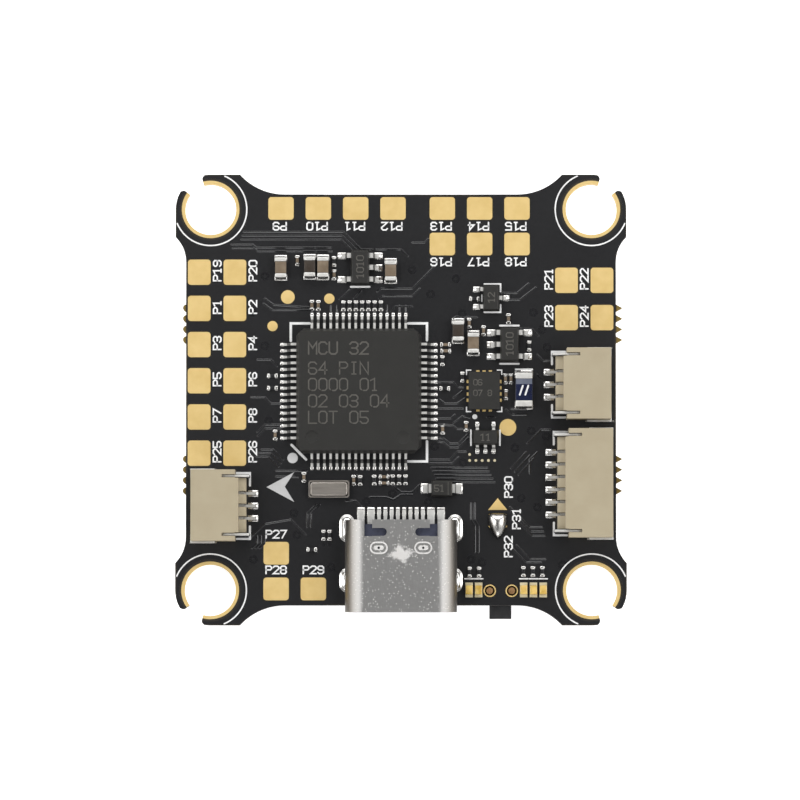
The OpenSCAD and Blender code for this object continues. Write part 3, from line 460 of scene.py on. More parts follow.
def disc(bm, x, y, radius, z, height, steps=28, hole=0.0):
    """A raised disc, or a ring when hole is given."""
    if hole:
        ribbon(bm, arc(x, y, (radius + hole) / 2, 0, 360, steps)[:-1], radius - hole, z, height, closed=True)
        return
    rim = arc(x, y, radius, 0, 360, steps)[:-1]
    low = [bm.verts.new((a, b, z)) for a, b in rim]
    high = [bm.verts.new((a, b, z + height)) for a, b in rim]
    prism(bm, low, high)


def outline_piece(name, draw, slot_name, material, smooth=35):
    """A piece that a function draws."""
    bm = bmesh.new()
    draw(bm)
    return make_piece(name, bm, slot_name, material, smooth=smooth)


# ---------------------------------------------------------------- printing and copper relief

# strokes of each letter on a grid 4 wide and 6 high, a pair of digits for each point
GLYPHS = {
    "0": ["10 01 05 16 36 45 41 30 10"], "1": ["05 26 20", "10 30"], "2": ["05 16 36 45 44 00 40"],
    "3": ["05 16 36 45 44 33 42 41 30 10 01", "13 33"], "4": ["30 36 02 42"],
    "5": ["46 06 03 33 42 41 30 10 01"],
    "6": ["45 36 16 05 01 10 30 41 42 33 03"], "7": ["06 46 10"],
    "8": ["13 04 05 16 36 45 44 33 13 02 01 10 30 41 42 33"], "9": ["01 10 30 41 45 36 16 05 04 13 43"],
    "P": ["00 06 36 45 44 33 03"], "M": ["00 06 23 46 40"], "C": ["45 36 16 05 01 10 30 41"],
    "U": ["06 01 10 30 41 46"], "I": ["20 26", "10 30", "16 36"], "N": ["00 06 40 46"],
    "T": ["06 46", "26 20"],
    "L": ["06 00 40"], "O": ["10 01 05 16 36 45 41 30 10"], "-": ["13 33"], " ": [],
}
ADVANCE = 5.2  # from one letter to the next, in sixths of a capital
INK_W = 0.115
LAYER = 0.0006  # each stroke of a letter lies this much further out than the last
INK_T = 0.036  # stands above the copper relief, so no trace covers a label
MARK_T = 0.014
MARK_SINK = 0.010  # how deep the marks on a package start below its face
LABEL_WIDE = 1.12
SLOT_AT = 15.25


def write(bm, text, x, y, turn=0, cap=0.6, stroke=INK_W, face=None, down=False, wide=1.0):
    """Single-stroke lettering, centred on (x, y). down mirrors it for the underside."""
    unit = cap / 6
    span = (len(text) - 1) * ADVANCE + 4
    height = INK_T if face is None else MARK_T
    face = TOP if face is None else face
    cos, sin = math.cos(math.radians(turn)), math.sin(math.radians(turn))
    for i, letter in enumerate(text):
        for k, stroke_points in enumerate(GLYPHS[letter]):
            line = []
            for pair in stroke_points.split():
                u = (int(pair[0]) + i * ADVANCE - span / 2) * unit * wide
                v = (int(pair[1]) - 3) * unit
                if down:
                    u = -u
                line.append((x + u * cos - v * sin, y + u * sin + v * cos))
            base = face - height - LAYER * k if down else face + LAYER * k
            ribbon(bm, line, stroke, base, height)


def is_motor_pad(p):
    return p.x < -12 and -3 < p.y < 9


# from back to front and left to right, the motor pads first
PADS = sorted(islands("wire_pads"), key=lambda b: (-round(b[1].y, 1), round(b[0].x, 1)))
PADS = sorted((middle(b) for b in PADS), key=lambda p: not is_motor_pad(p))


def pad_label_place(p):
    """Where a pad's number stands and which way it reads: beside the pad, towards the board's middle."""
    if p.y > 11.5 and p.x > -11:
        return p.x - 0.1, p.y - 1.43, 180
    if p.x < -12:
        return p.x + 1.44, p.y + 0.12, 90
    if p.x > 12:
        return p.x - 1.42, p.y + 0.12, 90
    return p.x, p.y + 1.52, 0


def draw_labels(bm):
    for i, p in enumerate(PADS):
        x, y, turn = pad_label_place(p)
        write(bm, f"P{i + 1}", x, y, turn, wide=LABEL_WIDE)
    selector = node_box("selector_pads")
    cx, cy = middle(selector).x, middle(selector).y
    for k, (dx, dy) in enumerate([(0.87, 2.47), (1.5, -0.04), (0.85, -2.29)]):
        write(bm, f"P{len(PADS) + k + 1}", cx + dx, cy + dy, 90, wide=LABEL_WIDE)


def corner(bm, x, y, dx, dy, width=0.17):
    """An L-shaped corner mark with its elbow at (x, y) and arms dx and dy long."""
    ribbon(bm, [(x + dx, y), (x, y), (x, y + dy)], width, TOP, INK_T)


def bar(bm, x0, y0, x1, y1, width=0.15):
    ribbon(bm, [(x0, y0), (x1, y1)], width, TOP, INK_T)


def draw_marks(bm):
    # rings round the mounting slots, where there is board under them
    slot_rings(bm, TOP)
    # processor outline: three corners and a cut one; its dot is drawn with the forward arrow
    low, high = node_box("mcu_body")
    reach = 0.45
    corner(bm, low.x - reach, high.y + reach, 1.5, -1.4, 0.2)
    corner(bm, high.x + reach, high.y + reach, -1.5, -1.35, 0.2)
    corner(bm, high.x + reach, low.y - reach - 0.15, -1.55, 1.6, 0.2)
    bar(bm, low.x - 0.38, low.y + 0.72, low.x + 0.78, low.y - 0.45, 0.2)
    # socket corners
    for name in SOCKETS[:3]:
        low, high = node_box(f"{name}_housing")
        side = math.copysign(1, low.x)
        rear = (low.x if side > 0 else high.x) - side * 0.26
        for y, s in ((low.y + 0.2, 1), (high.y - 0.2, -1)):
            corner(bm, rear, y, side * 1.05, s * 1.0)
    # bars and brackets beside the small packages
    for i, (low, high) in enumerate(sorted(islands("regulator_bodies"), key=lambda b: b[0].x)):
        bar(bm, low.x, low.y - 0.13, high.x, low.y - 0.13)
        if i:
            bar(bm, low.x, high.y + 0.13, high.x, high.y + 0.13)
    low, high = node_box("transistor_body")
    for y, dy in ((low.y - 0.08, 0.6), (high.y + 0.08, -0.6)):
        ribbon(bm, [(low.x + 0.1, y), (high.x + 0.1, y), (high.x + 0.1, y + dy)], 0.13, TOP, INK_T)
    bar(bm, low.x - 0.1, middle((low, high)).y - 0.25, low.x - 0.1, middle((low, high)).y + 0.25, 0.1)
    low, high = node_box("level_shifter_body")
    for x in (low.x - 0.11, high.x + 0.11):
        bar(bm, x, low.y, x, high.y, 0.13)
    low, high = node_box("imu_body")
    for x, dx in ((low.x - 0.16, 0.35), (high.x + 0.16, -0.35)):
        for y, dy in ((low.y - 0.16, 0.35), (high.y + 0.16, -0.35)):
            corner(bm, x, y, dx, dy, 0.1)
    disc(bm, low.x + 0.5, low.y - 0.57, 0.2, TOP, INK_T)
    low, high = node_box("fuse_body")
    bar(bm, low.x, high.y + 0.78, high.x, high.y + 0.78, 0.13)
    for low, high in islands("led_lenses"):
        bar(bm, low.x - 0.06, high.y + 0.53, high.x + 0.06, high.y + 0.53, 0.1)


def draw_dot_row(bm):
    """Tinned test dots in a row in front of the level shifter."""
    low = node_box("level_shifter_body")[0]
    for i in range(5):
        disc(bm, low.x - 0.21 + i * 0.5, low.y - 1.22, 0.11, TOP, 0.03, 20)
    disc(bm, low.x - 0.21, low.y - 0.74, 0.11, TOP, 0.03, 20)


def slot_rings(bm, z):
    for slot_box in islands("slot_plating"):
        if slot_box[1].x - slot_box[0].x > 2:
            sx, sy = math.copysign(1, slot_box[0].x), math.copysign(1, slot_box[0].y)
            line = arc(0, 0, 2.9, 113, 337, 60)
            ribbon(bm, [(sx * (SLOT_AT + x), sy * (SLOT_AT + y)) for x, y in line], 0.11, z, INK_T)


def draw_under_marks(bm):
    """Printing on the underside: slot rings, package corners and the numbers of the two wide sockets."""
    z = UNDER - INK_T
    slot_rings(bm, z)
    for node in ("osd_chip_body", "flash_memory", "barometer_base", "boot_switch_base"):
        low, high = node_box(node)
        for x, dx in ((low.x - 0.3, 1), (high.x + 0.3, -1)):
            for y, dy in ((low.y - 0.3, 1), (high.y + 0.3, -1)):
                ribbon(bm, [(x + 0.8 * dx, y), (x, y), (x, y + 0.8 * dy)], 0.13, z, INK_T)
    for node, text in (("esc_left_housing", "M1-4"), ("esc_right_housing", "M5-8")):
        low, high = node_box(node)
        x = middle((low, high)).x
        write(bm, text, x - math.copysign(1.2, x), low.y - 1.0, 0, 0.75, 0.13, face=UNDER, down=True)
    for i, (low, high) in enumerate(islands("inductor_bodies")):
        c = middle((low, high))
        write(bm, f"L{i + 1}", c.x, high.y + 0.75, 0, 0.75, 0.13, face=UNDER, down=True)


UNDER_BUNDLES = [
    ([(-9.0, -2.0), (-5.5, -2.0), (-4.5, -3.0), (-1.0, -3.0)], (0.1, -0.45), 4),
    ([(9.0, 3.4), (7.5, 3.4), (6.0, 1.9), (4.9, 1.9)], (0.0, 0.45), 3),
    ([(-8.5, 6.0), (-6.0, 6.0), (-4.6, 7.4), (-4.6, 12.5)], (-0.45, 0.1), 3),
    ([(1.0, 6.6), (4.4, 6.6), (5.6, 5.4), (8.8, 5.4)], (0.1, 0.45), 3),
]


def draw_under_traces(bm):
    for line, step, count in UNDER_BUNDLES:
        for k in range(count):
            moved = [(x + k * step[0], y + k * step[1]) for x, y in line]
            ribbon(bm, moved, 0.2, UNDER, -TRACE_T, shrink=TRACE_SLOPE)


def draw_arrow(bm):
    """The forward arrow: a notched arrowhead that points away from the processor's side."""
    x, y = -10.76, -7.0
    length, notch, wing = 2.22, 1.47, 1.19
    points = [(x, y), (x + length, y - wing), (x + notch, y + 0.03), (x + length, y + wing)]
    low = [bm.verts.new((x, y, TOP)) for x, y in points]
    high = [bm.verts.new((x, y, TOP + INK_T)) for x, y in points]
    wall(bm, low, high)
    for ring in (low, high):
        bm.faces.new((ring[0], ring[1], ring[2]))
        bm.faces.new((ring[0], ring[2], ring[3]))
    corner_dot = node_box("mcu_body")[0]
    disc(bm, corner_dot.x - 0.3, corner_dot.y - 0.33, 0.42, TOP, INK_T)


TRACE_W = 0.16
TRACE_T = 0.03
TRACE_SLOPE = 0.05

# the clearest copper lines under the mask, placed in millimetres
TRACES = [
    [(-3.96, 8.94), (-4.92, 8.02)],
    [(-3.2, 8.7), (-3.76, 8.1)],
    [(-11.0, 7.7), (-10.3, 7.18), (-7.2, 7.18)],
    [(-10.9, 8.1), (-10.2, 7.6), (-7.3, 7.4)],
    [(-1.9, 8.66), (-1.6, 8.9), (0.9, 8.9), (2.6, 10.6)],
    [(-1.75, 8.1), (-1.5, 8.3), (0.9, 8.3), (1.5, 8.9)],
    [(-0.76, 7.06), (-0.5, 7.46), (0.9, 7.46)],
    [(-2.0, 12.05), (0.0, 12.05), (0.55, 11.5)],
    [(0.9, 12.6), (1.9, 12.6), (2.2, 12.9)],
    [(7.9, 8.55), (9.3, 8.55), (10.2, 9.3)],
    [(8.0, 8.0), (9.5, 8.0), (10.8, 9.0)],
    [(4.2, 6.5), (4.4, 6.65), (6.1, 6.6)],
    [(9.4, 5.7), (10.5, 5.65), (11.0, 5.1)],
    [(2.9, 1.4), (4.2, 1.4), (4.6, 1.0), (5.0, 1.0)],
    [(3.1, 0.0), (3.5, -0.3), (4.5, -0.3), (5.1, 0.1)],
    [(3.0, -0.7), (5.0, -0.7)],
    [(3.0, -1.5), (4.0, -1.5), (4.3, -1.2)],
    [(4.2, 0.15), (4.9, 0.7)],
    [(4.2, -1.85), (4.95, -1.3), (5.5, -1.45)],
    [(3.0, -2.0), (4.1, -2.05), (4.5, -2.35), (5.5, -2.35)],
    [(2.3, -4.8), (3.9, -4.8), (4.5, -4.15), (5.2, -4.15)],
    [(2.3, -5.1), (4.1, -5.1), (4.6, -4.6)],
    [(6.9, -1.4), (7.5, -1.4)],
    [(8.4, -0.8), (8.9, -1.2), (10.0, -1.2)],
    [(8.8, -0.75), (10.0, -0.75)],
    [(12.0, -2.4), (11.2, -2.4), (10.1, -3.5)],
    [(10.9, -4.2), (10.3, -4.8), (10.3, -5.9)],
    [(-10.0, -5.7), (-7.5, -5.7)],
    [(-10.0, -6.15), (-8.2, -6.2)],
    [(-2.5, -7.8), (-1.2, -7.8), (-0.6, -8.0), (0.0, -7.6), (0.9, -7.6)],
    [(-0.6, -6.9), (0.0, -7.4), (0.9, -7.4), (1.5, -6.8)],
    [(-4.4, -8.1), (-3.6, -8.1), (-3.2, -8.5)],
    [(-12.25, -11.2), (-10.85, -9.95), (-8.8, -9.6), (-7.6, -10.8)],
    [(-12.0, 0.2), (-10.9, 0.2), (-10.4, -0.3), (-9.6, -0.3)],
    [(-11.5, 3.2), (-10.4, 3.2), (-9.9, 2.7)],
    [(10.9, 3.6), (11.4, 3.1), (11.9, 3.1)],
    [(10.9, 2.0), (11.5, 1.4)],
]
# first line of each bundle, the step to the next one, and how many there are
BUNDLES = [
    ([(-12.6, 13.45), (-4.6, 13.45), (-3.2, 12.05), (-2.3, 12.05)], (-0.1, -0.3), 3),
    ([(-13.6, 12.45), (-11.9, 12.45), (-11.6, 12.2), (-5.6, 12.2)], (0.1, -0.3), 2),
    ([(-11.2, -4.0), (-10.2, -4.0), (-9.4, -4.8)], (-0.2, -0.28), 3),
    ([(-11.5, -2.6), (-10.9, -2.0), (-9.6, -2.0)], (0.05, -0.3), 2),
    ([(3.0, -3.05), (3.4, -3.1), (3.9, -3.5), (4.6, -3.5), (5.4, -2.7)], (0.0, -0.32), 2),
    ([(2.4, -5.45), (5.0, -5.45), (6.9, -5.45)], (0.15, -0.29), 5),
    ([(10.0, -4.2), (8.8, -5.5)], (0.3, -0.26), 3),
    ([(8.7, -8.6), (10.3, -10.2), (11.3, -10.2)], (0.1, -0.35), 3),
    ([(5.6, -8.3), (5.6, -9.6), (5.9, -10.1), (5.9, -12.2)], (0.3, 0.0), 2),
    ([(8.9, -11.9), (10.0, -13.0), (11.2, -13.0)], (0.35, 0.25), 2),
    ([(-6.5, -8.4), (-7.2, -9.1), (-7.2, -10.2)], (-0.3, 0.0), 2),
    ([(-11.9, -11.9), (-11.5, -11.5), (-11.5, -10.9)], (0.3, 0.0), 3),
]
FAN_IN = 0.5
FAN_SHARE = 0.6


def draw_traces(bm):
    for line in TRACES:
        ribbon(bm, line, TRACE_W, TOP, TRACE_T, shrink=TRACE_SLOPE)
    for line, step, count in BUNDLES:
        for k in range(count):
            moved = [(x + k * step[0], y + k * step[1]) for x, y in line]
            ribbon(bm, moved, TRACE_W, TOP, TRACE_T + 0.0004 * k, shrink=TRACE_SLOPE)
    # short necks between the small chips and the processor's back row
    for low, high in islands("mcu_leads"):
        c = middle((low, high))
        if high.y - low.y > high.x - low.x and c.y > 0 and rng.random() < FAN_SHARE:
            start = high.y + 0.35
            ribbon(bm, [(c.x, start), (c.x, start + FAN_IN)], 0.13, TOP, TRACE_T, shrink=TRACE_SLOPE)


# middles of the covered vias, placed in millimetres
VIAS = [
    (2.37, 8.45), (11.7, 4.2), (2.7, -3.75), (4.95, -5.05), (9.1, -3.85), (-2.75, -8.15), (-0.7, -7.5),
    (-8.55, -9.07), (-8.33, -10.83), (-11.8, -12.8), (5.6, -12.8), (6.5, -13.0), (-11.9, 7.0), (-10.9, 9.9),
    (0.9, 10.4), (4.4, 9.7), (9.9, 10.9), (10.6, 7.0), (11.3, 5.6), (-10.9, 4.3), (-10.6, -1.7), (2.2, -8.2),
    (10.9, -8.6), (11.6, -2.9), (10.4, -2.5), (9.6, -7.9), (-5.6, -13.4), (12.9, -13.2), (4.9, 6.9),
]
# small vias in a row: the first one, the step and how many
VIA_ROWS = [(-6.2, -11.6, 0.5, 2), (-7.4, -12.1, 0.5, 2)]


def draw_vias(bm):
    for x, y in VIAS:
        disc(bm, x, y, 0.34, TOP, 0.016, hole=0.15)
    for x, y, pitch, count in VIA_ROWS:
        for i in range(count):
            disc(bm, x + i * pitch, y, 0.13, TOP, 0.012, steps=16)


# ---------------------------------------------------------------- solder

def away_from(part, bodies):
    """The direction in which a lead or terminal leaves the body it belongs to."""
    c = middle(part)
    low, high = min(bodies, key=lambda b: (middle(b) - c).length)
    slack = 0.06
    if part[0].x > high.x - slack:
        return Vector((1, 0))
    if part[1].x < low.x + slack:
        return Vector((-1, 0))
    if part[0].y > high.y - slack:
        return Vector((0, 1))
    return Vector((0, -1))


def foot_axes(part, direction):
    """A lead's middle, half its length along a direction, half its width, and the direction across it."""
    half = (part[1] - part[0]).to_2d() / 2
    sizes = (half.x, half.y) if direction.x else (half.y, half.x)
    return middle(part).to_2d(), *sizes, Vector((-direction.y, direction.x))


def fillet(bm, part, direction, height, reach, margin, ground, up):
    """A concave solder fillet that runs down from the end of a lead or terminal to its land."""
    centre, half_length, half_width, across = foot_axes(part, direction)
    end = centre + direction * half_length
    columns, rows = 7, 6
    start = 0.02
    grid = []
    for i in range(columns):
        u = -1 + 2 * i / (columns - 1)
        side = (1 - abs(u) ** 4) ** 0.5 if abs(u) < 1 else 0
        line = []
        for j in range(rows):
            v = j / (rows - 1)
            rise = height * side * (1 - v) ** 1.9
            bulge = 1 - 0.18 * abs(u) ** 3
            p = end + across * u * (half_width + margin) + direction * (-start + (reach + start) * v * bulge)
            line.append(bm.verts.new((p.x, p.y, ground + up * (rise - 0.003))))
        grid.append(line)
    base = [[bm.verts.new((v.co.x, v.co.y, ground - up * 0.012)) for v in line] for line in grid]
    for i in range(columns - 1):
        for j in range(rows - 1):
            bm.faces.new((grid[i][j], grid[i + 1][j], grid[i + 1][j + 1], grid[i][j + 1]))
            bm.faces.new((base[i][j], base[i][j + 1], base[i + 1][j + 1], base[i + 1][j]))
    rim = [(i, 0) for i in range(columns)] + [(columns - 1, j) for j in range(1, rows)]
    rim += [(i, rows - 1) for i in range(columns - 2, -1, -1)] + [(0, j) for j in range(rows - 2, 0, -1)]
    for k, (i, j) in enumerate(rim):
        a, b = rim[(k + 1) % len(rim)]
        bm.faces.new((grid[i][j], grid[a][b], base[a][b], base[i][j]))


def land(bm, part, direction, before, after, margin, ground, up, rise=0.016):
    """The flat tinned land under a foot, with its edges sloped."""
    centre, half_length, half_width, across = foot_axes(part, direction)
    width = half_width + margin
    ends = (centre + direction * (half_length - before), centre + direction * (half_length + after))
    low, high = [], []
    for inset, z, ring in ((0, ground - up * 0.01, low), (0.02, ground + up * rise, high)):
        for e, s in ((0, -1), (0, 1), (1, 1), (1, -1)):
            p = ends[e] + across * s * (width - inset) + direction * (inset if e == 0 else -inset)
            ring.append(bm.verts.new((p.x, p.y, z)))
    prism(bm, low, high)


# lead node, body node, fillet height, reach, side margin, land length under the foot
JOINTS = [
    ("mcu_leads", "mcu_body", 0.05, 0.2, -0.01, 0.1),
    ("regulator_leads", "regulator_bodies", 0.12, 0.26, 0.03, 0.4),
    ("transistor_leads", "transistor_body", 0.12, 0.2, 0.03, 0.3),
    ("level_shifter_leads", "level_shifter_body", 0.1, 0.18, 0.0, 0.22),
    ("diode_terminals", "diode_body", 0.12, 0.14, 0.03, 0.4),
    ("fuse_terminals", "fuse_body", 0.5, 0.16, 0.0, 0.4),
    ("capacitor_terminals", "capacitor_bodies", 0.45, 0.17, 0.0, 0.3),
    ("resistor_terminals", "resistor_bodies", 0.14, 0.07, 0.0, 0.1),
    ("led_bases", "led_lenses", 0.1, 0.06, 0.0, 0.15),
    ("osd_chip_leads", "osd_chip_body", 0.12, 0.22, 0.04, 0.6),
    ("buck_chip_leads", "buck_chip_bodies", 0.14, 0.24, 0.07, 0.4),
    ("inductor_terminals", "inductor_bodies", 0.05, 0.25, 0.1, 0.6),
]


def side_of(part):
    return (TOP, 1) if part[1].z > TOP else (UNDER, -1)


def draw_solder(bm):
    for leads, body, *sizes in JOINTS:
        bodies = islands(body)
        for part in islands(leads):
            height, reach, margin, under = sizes
            ground, up = side_of(part)
            direction = away_from(part, bodies)
            size = part[1] - part[0]
            if leads == "led_bases" and size.y > 0.5:
                continue
            if size.x * size.y < 0.09 and "terminals" in leads:
                height, reach, under = min(height, 0.14), min(reach, 0.07), 0.1
            fillet(bm, part, direction, height, reach, margin, ground, up)
            land(bm, part, direction, under, reach + 0.05, margin + 0.04, ground, up)
    for name in SOCKETS:
        for part in islands(f"{name}_contacts"):
            ground, up = side_of(part)
            direction = Vector((-math.copysign(1, part[0].x), 0))
            fillet(bm, part, direction, 0.13, 0.14, 0.06, ground, up)
            land(bm, part, direction, 0.62, 0.2, 0.15, ground, up)
    for part in islands("usb_contacts"):
        if part[1].z < TOP + 0.5:
            fillet(bm, part, Vector((0, 1)), 0.13, 0.14, 0.02, TOP, 1)
            land(bm, part, Vector((0, 1)), 0.8, 0.18, 0.03, TOP, 1)


def stadium(cx, cy, straight, radius, steps=10):
    """An oval with straight sides, each twice straight long."""
    return arc(cx, cy + straight, radius, 0, 180, steps) + arc(cx, cy - straight, radius, 180, 360, steps)


def collar(bm, cx, cy, straight, outer, inner, ground, up, height):
    """An oval collar of solder that climbs from its land to a leg in the middle of it."""
    rings = []
    for k in range(7):
        v = k / 6
        radius = outer + (inner - outer) * v
        rise = height * v ** 2.2 + 0.02 * math.sin(math.pi * min(1, v * 2))
        rings.append([bm.verts.new((x, y, ground + up * rise)) for x, y in stadium(cx, cy, straight, radius)])
    base = [bm.verts.new((x, y, ground - up * 0.02)) for x, y in stadium(cx, cy, straight, outer)]
    wall(bm, base, *rings)
    bm.faces.new(rings[-1])
    bm.faces.new(base[::-1])


def draw_leg_solder(bm):
    """A collar round each of the shell's legs, above and below the board."""
    leg_x, outer, inner, climb = 4.32, 0.6, 0.3, 0.2
    for box in islands("usb_leg_solder"):
        c, half_y = middle(box), (box[1].y - box[0].y) / 2
        ground, up = side_of(box)
        collar(bm, math.copysign(leg_x, c.x), c.y, half_y - outer, outer, inner, ground, up, climb)


def draw_bridge(bm):
    """The selector's blob: a shield of solder that covers two pads and ends in a point."""
    low, high = node_box("solder_bridge")
    cx, top, tip = middle((low, high)).x, high.y, low.y
    half, corner_r = 0.72, 0.3
    outline = [(cx + x, y) for x, y in arc(half - corner_r, top - corner_r, corner_r, 90, 0, 8)]
    side = 10
    for i in range(1, side + 1):
        v = i / side
        outline.append((cx + half * (1 - v ** 3.0), top - corner_r - (top - corner_r - tip) * v))
    outline += [(2 * cx - x, y) for x, y in outline[-2::-1]]
    centre = Vector((cx, top - 0.72))
    ground = TOP + 0.03
    rings = []
    steps = 9
    for k in range(steps):
        angle = math.pi / 2 * k / steps
        spread, rise = math.cos(angle), high.z - ground
        rings.append([bm.verts.new((centre.x + (x - centre.x) * spread, centre.y + (y - centre.y) * spread,
                                    ground + rise * math.sin(angle) ** 0.8)) for x, y in outline])
    peak = bm.verts.new((centre.x, centre.y, high.z))
    base = [bm.verts.new((x, y, TOP - 0.01)) for x, y in outline]
    wall(bm, base, *rings)
    for i, vert in enumerate(rings[-1]):
        bm.faces.new((vert, rings[-1][(i + 1) % len(outline)], peak))
    bm.faces.new(base[::-1])


CATCH_X = 1.77
CATCH_BACK = 2.25  # in front of the shell's rear edge


def draw_dimples(bm):
    """The two pressed catches in the shell's top: a rim and an inner island, below the face."""
    high = node_box("usb_shell")[1]
    cy = high.y - CATCH_BACK
    for cx in (-CATCH_X, CATCH_X):
        rim = [(cx + y, cy + x) for x, y in stadium(0, 0, 0.22, 0.44)]
        ribbon(bm, rim, 0.13, high.z - 0.12, 0.1, closed=True)
        ribbon(bm, [(cx - 0.22, cy), (cx + 0.22, cy)], 0.42, high.z - 0.12, 0.08, shrink=0.05)


# Painted shade: a dark disc in the middle of each catch, standing for the shade in its hollow.
def draw_dimple_shade(bm):
    high = node_box("usb_shell")[1]
    for cx in (-CATCH_X, CATCH_X):
        disc(bm, cx, high.y - CATCH_BACK, 0.1, high.z - 0.1, 0.065, 20)


def draw_tab_solder(bm):
    """Tin round the broad feet of the socket tabs."""
    housings = [node_box(f"{name}_housing") for name in SOCKETS]
    for part in islands("socket_fixing_tabs"):
        ground, up = side_of(part)
        c = middle(part)
        low, high = min(housings, key=lambda b: (middle(b) - c).length)
        outward = 1 if c.y > middle((low, high)).y else -1
        side = math.copysign(1, c.x)
        foot_end = part[1].x if side > 0 else -part[0].x
        x0, x1 = side * (foot_end - 2.1), side * (foot_end + 0.06)
        edge = high.y if outward > 0 else low.y
        y0, y1 = edge + outward * 0.02, edge + outward * 0.14
        foot = (Vector((min(x0, x1), min(y0, y1), 0)), Vector((max(x0, x1), max(y0, y1), 0)))
        land(bm, foot, Vector((0, outward)), 0.12, 0.04, 0.02, ground, up, 0.03)


# ---------------------------------------------------------------- marks on the parts

def engrave(bm, lines, x, top_y, pitch, cap, z, stroke):
    """Rows of plain marking, left-aligned at x, flat on a part's face at height z."""
    for k, text in enumerate(lines):
        span = ((len(text) - 1) * ADVANCE + 4) * cap / 6
        write(bm, text, x + span / 2, top_y - k * pitch, 0, cap, stroke, face=z - MARK_SINK)


def stamp(bm, text, box, turn=0, cap=0.5, shift=0.0):
    """Plain marking in the middle of a small package."""
    c = middle(box)
    write(bm, text, c.x + shift, c.y, turn, cap, 0.08, face=box[1].z - MARK_SINK)


def draw_chip_marks(bm):
    low, high = node_box("mcu_body")
    x = low.x + 1.0
    engrave(bm, ["MCU 32"], x, high.y - 1.6, 1, 0.95, high.z, 0.13)
    engrave(bm, ["64 PIN", "0000 01", "02 03 04", "LOT 05"], x, high.y - 3.2, 1.31, 0.95, high.z, 0.11)
    low, high = node_box("imu_body")
    engrave(bm, ["06", "07 8"], low.x + 0.4, high.y - 0.85, 0.85, 0.44, high.z, 0.07)
    for box in islands("regulator_bodies"):
        stamp(bm, "1010", box, 90, 0.55)
    low, high = node_box("diode_body")
    for x in (high.x - 0.34, high.x - 0.08):
        ribbon(bm, [(x, low.y + 0.16), (x, high.y - 0.16)], 0.05, high.z - 0.01, 0.014, round_ends=False)
    stamp(bm, "51", (low, high), shift=-0.2)
    stamp(bm, "11", node_box("level_shifter_body"))
    stamp(bm, "12", node_box("transistor_body"), 90)


def rounded_frame(low, high, inset, radius, steps=6):
    """Corner-rounded rectangle that lies inset inside a box, as a line of points."""
    inset += radius
    x0, x1, y0, y1 = low.x + inset, high.x - inset, low.y + inset, high.y - inset
    points = []
    for cx, cy, start in ((x1, y1, 0), (x0, y1, 90), (x0, y0, 180), (x1, y0, 270)):
        points += arc(cx, cy, radius, start, start + 90, steps)
    return points


def draw_crystal_rim(bm):
    for low, high in islands("crystal_bases"):
        if low.z > 0:
            ribbon(bm, rounded_frame(low, high, 0.06, 0.2), 0.1, high.z - 0.01, 0.05, closed=True)


def draw_fuse_strokes(bm):
    low, high = node_box("fuse_body")
    cx, cy = middle((low, high)).to_2d()
    for k in (-0.22, 0.22):
        ribbon(bm, [(cx + k - 0.12, cy - 0.42), (cx + k + 0.12, cy + 0.3)], 0.14, high.z - 0.01, 0.014)


# A pale blue-grey band across the fuse's face, near its top end.
def draw_fuse_band(bm):
    low, high = node_box("fuse_body")
    y = high.y - 0.22
    ribbon(bm, [(low.x + 0.03, y), (high.x - 0.03, y)], 0.42, high.z - 0.012, 0.016, round_ends=False)


# ---------------------------------------------------------------- assembly

# how far each node's edges are rounded, in millimetres; every other node is shown as it is
SOFTENED = {
    "circuit_board": 0.02, "wire_pads": 0.018, "test_pads": 0.015, "selector_pads": 0.015,
    "slot_plating": 0.012, "mcu_body": 0.07, "imu_body": 0.04, "regulator_bodies": 0.05,
    "transistor_body": 0.04,
    "level_shifter_body": 0.04, "crystal_bases": 0.04, "crystal_lids": 0.06, "diode_body": 0.05,
    "fuse_body": 0.03, "fuse_terminals": 0.07, "capacitor_bodies": 0.03, "capacitor_terminals": 0.09,
    "resistor_bodies": 0.015, "resistor_terminals": 0.04, "led_bases": 0.015, "led_lenses": 0.05,
    "usb_shell": 0.1, "usb_housing": 0.02, "usb_contacts": 0.015, "usb_mid_plate": 0.02,
    **{f"{name}_housing": 0.06 for name in SOCKETS}, "socket_fixing_tabs": 0.03,
    "boot_switch_base": 0.04, "boot_switch_cover": 0.03, "boot_button": 0.07, "osd_chip_body": 0.06,
    "inductor_bodies": 0.1, "buck_chip_bodies": 0.05, "flash_memory": 0.04, "barometer_base": 0.02,
    "barometer_lid": 0.06,
}
for node_name, edge_size in SOFTENED.items():
    soften(node_name, edge_size)


def second_material(piece, material, chosen):
    """Gives the faces whose centre, in millimetres, is chosen another material."""
    piece.data.materials.append(material)
    for face in piece.data.polygons:
        if chosen(face.center / MM):
            face.material_index = 1


DARK_CAPACITORS = [(-7.31, 10.64), (4.57, 5.5)]


def on_dark_capacitor(c):
    return c.z > 0 and any(abs(c.x - x) < 0.6 and abs(c.y - y) < 1 for x, y in DARK_CAPACITORS)


second_material(bpy.data.objects["capacitor_bodies.shape"], DARK_CERAMIC, on_dark_capacitor)
SHELL_REAR = node_box("usb_shell")[1].y
second_material(bpy.data.objects["usb_contacts.shape"], MATERIALS["tinned_lead"],
                lambda c: c.y > SHELL_REAR - 0.9 and c.z < TOP + 0.5)
for node_name, node_object in frame["nodes"].items():
    if node_name not in SOFTENED:
        node_object.data.materials.clear()
        node_object.data.materials.append(MATERIALS[SLOTS[node_name]])

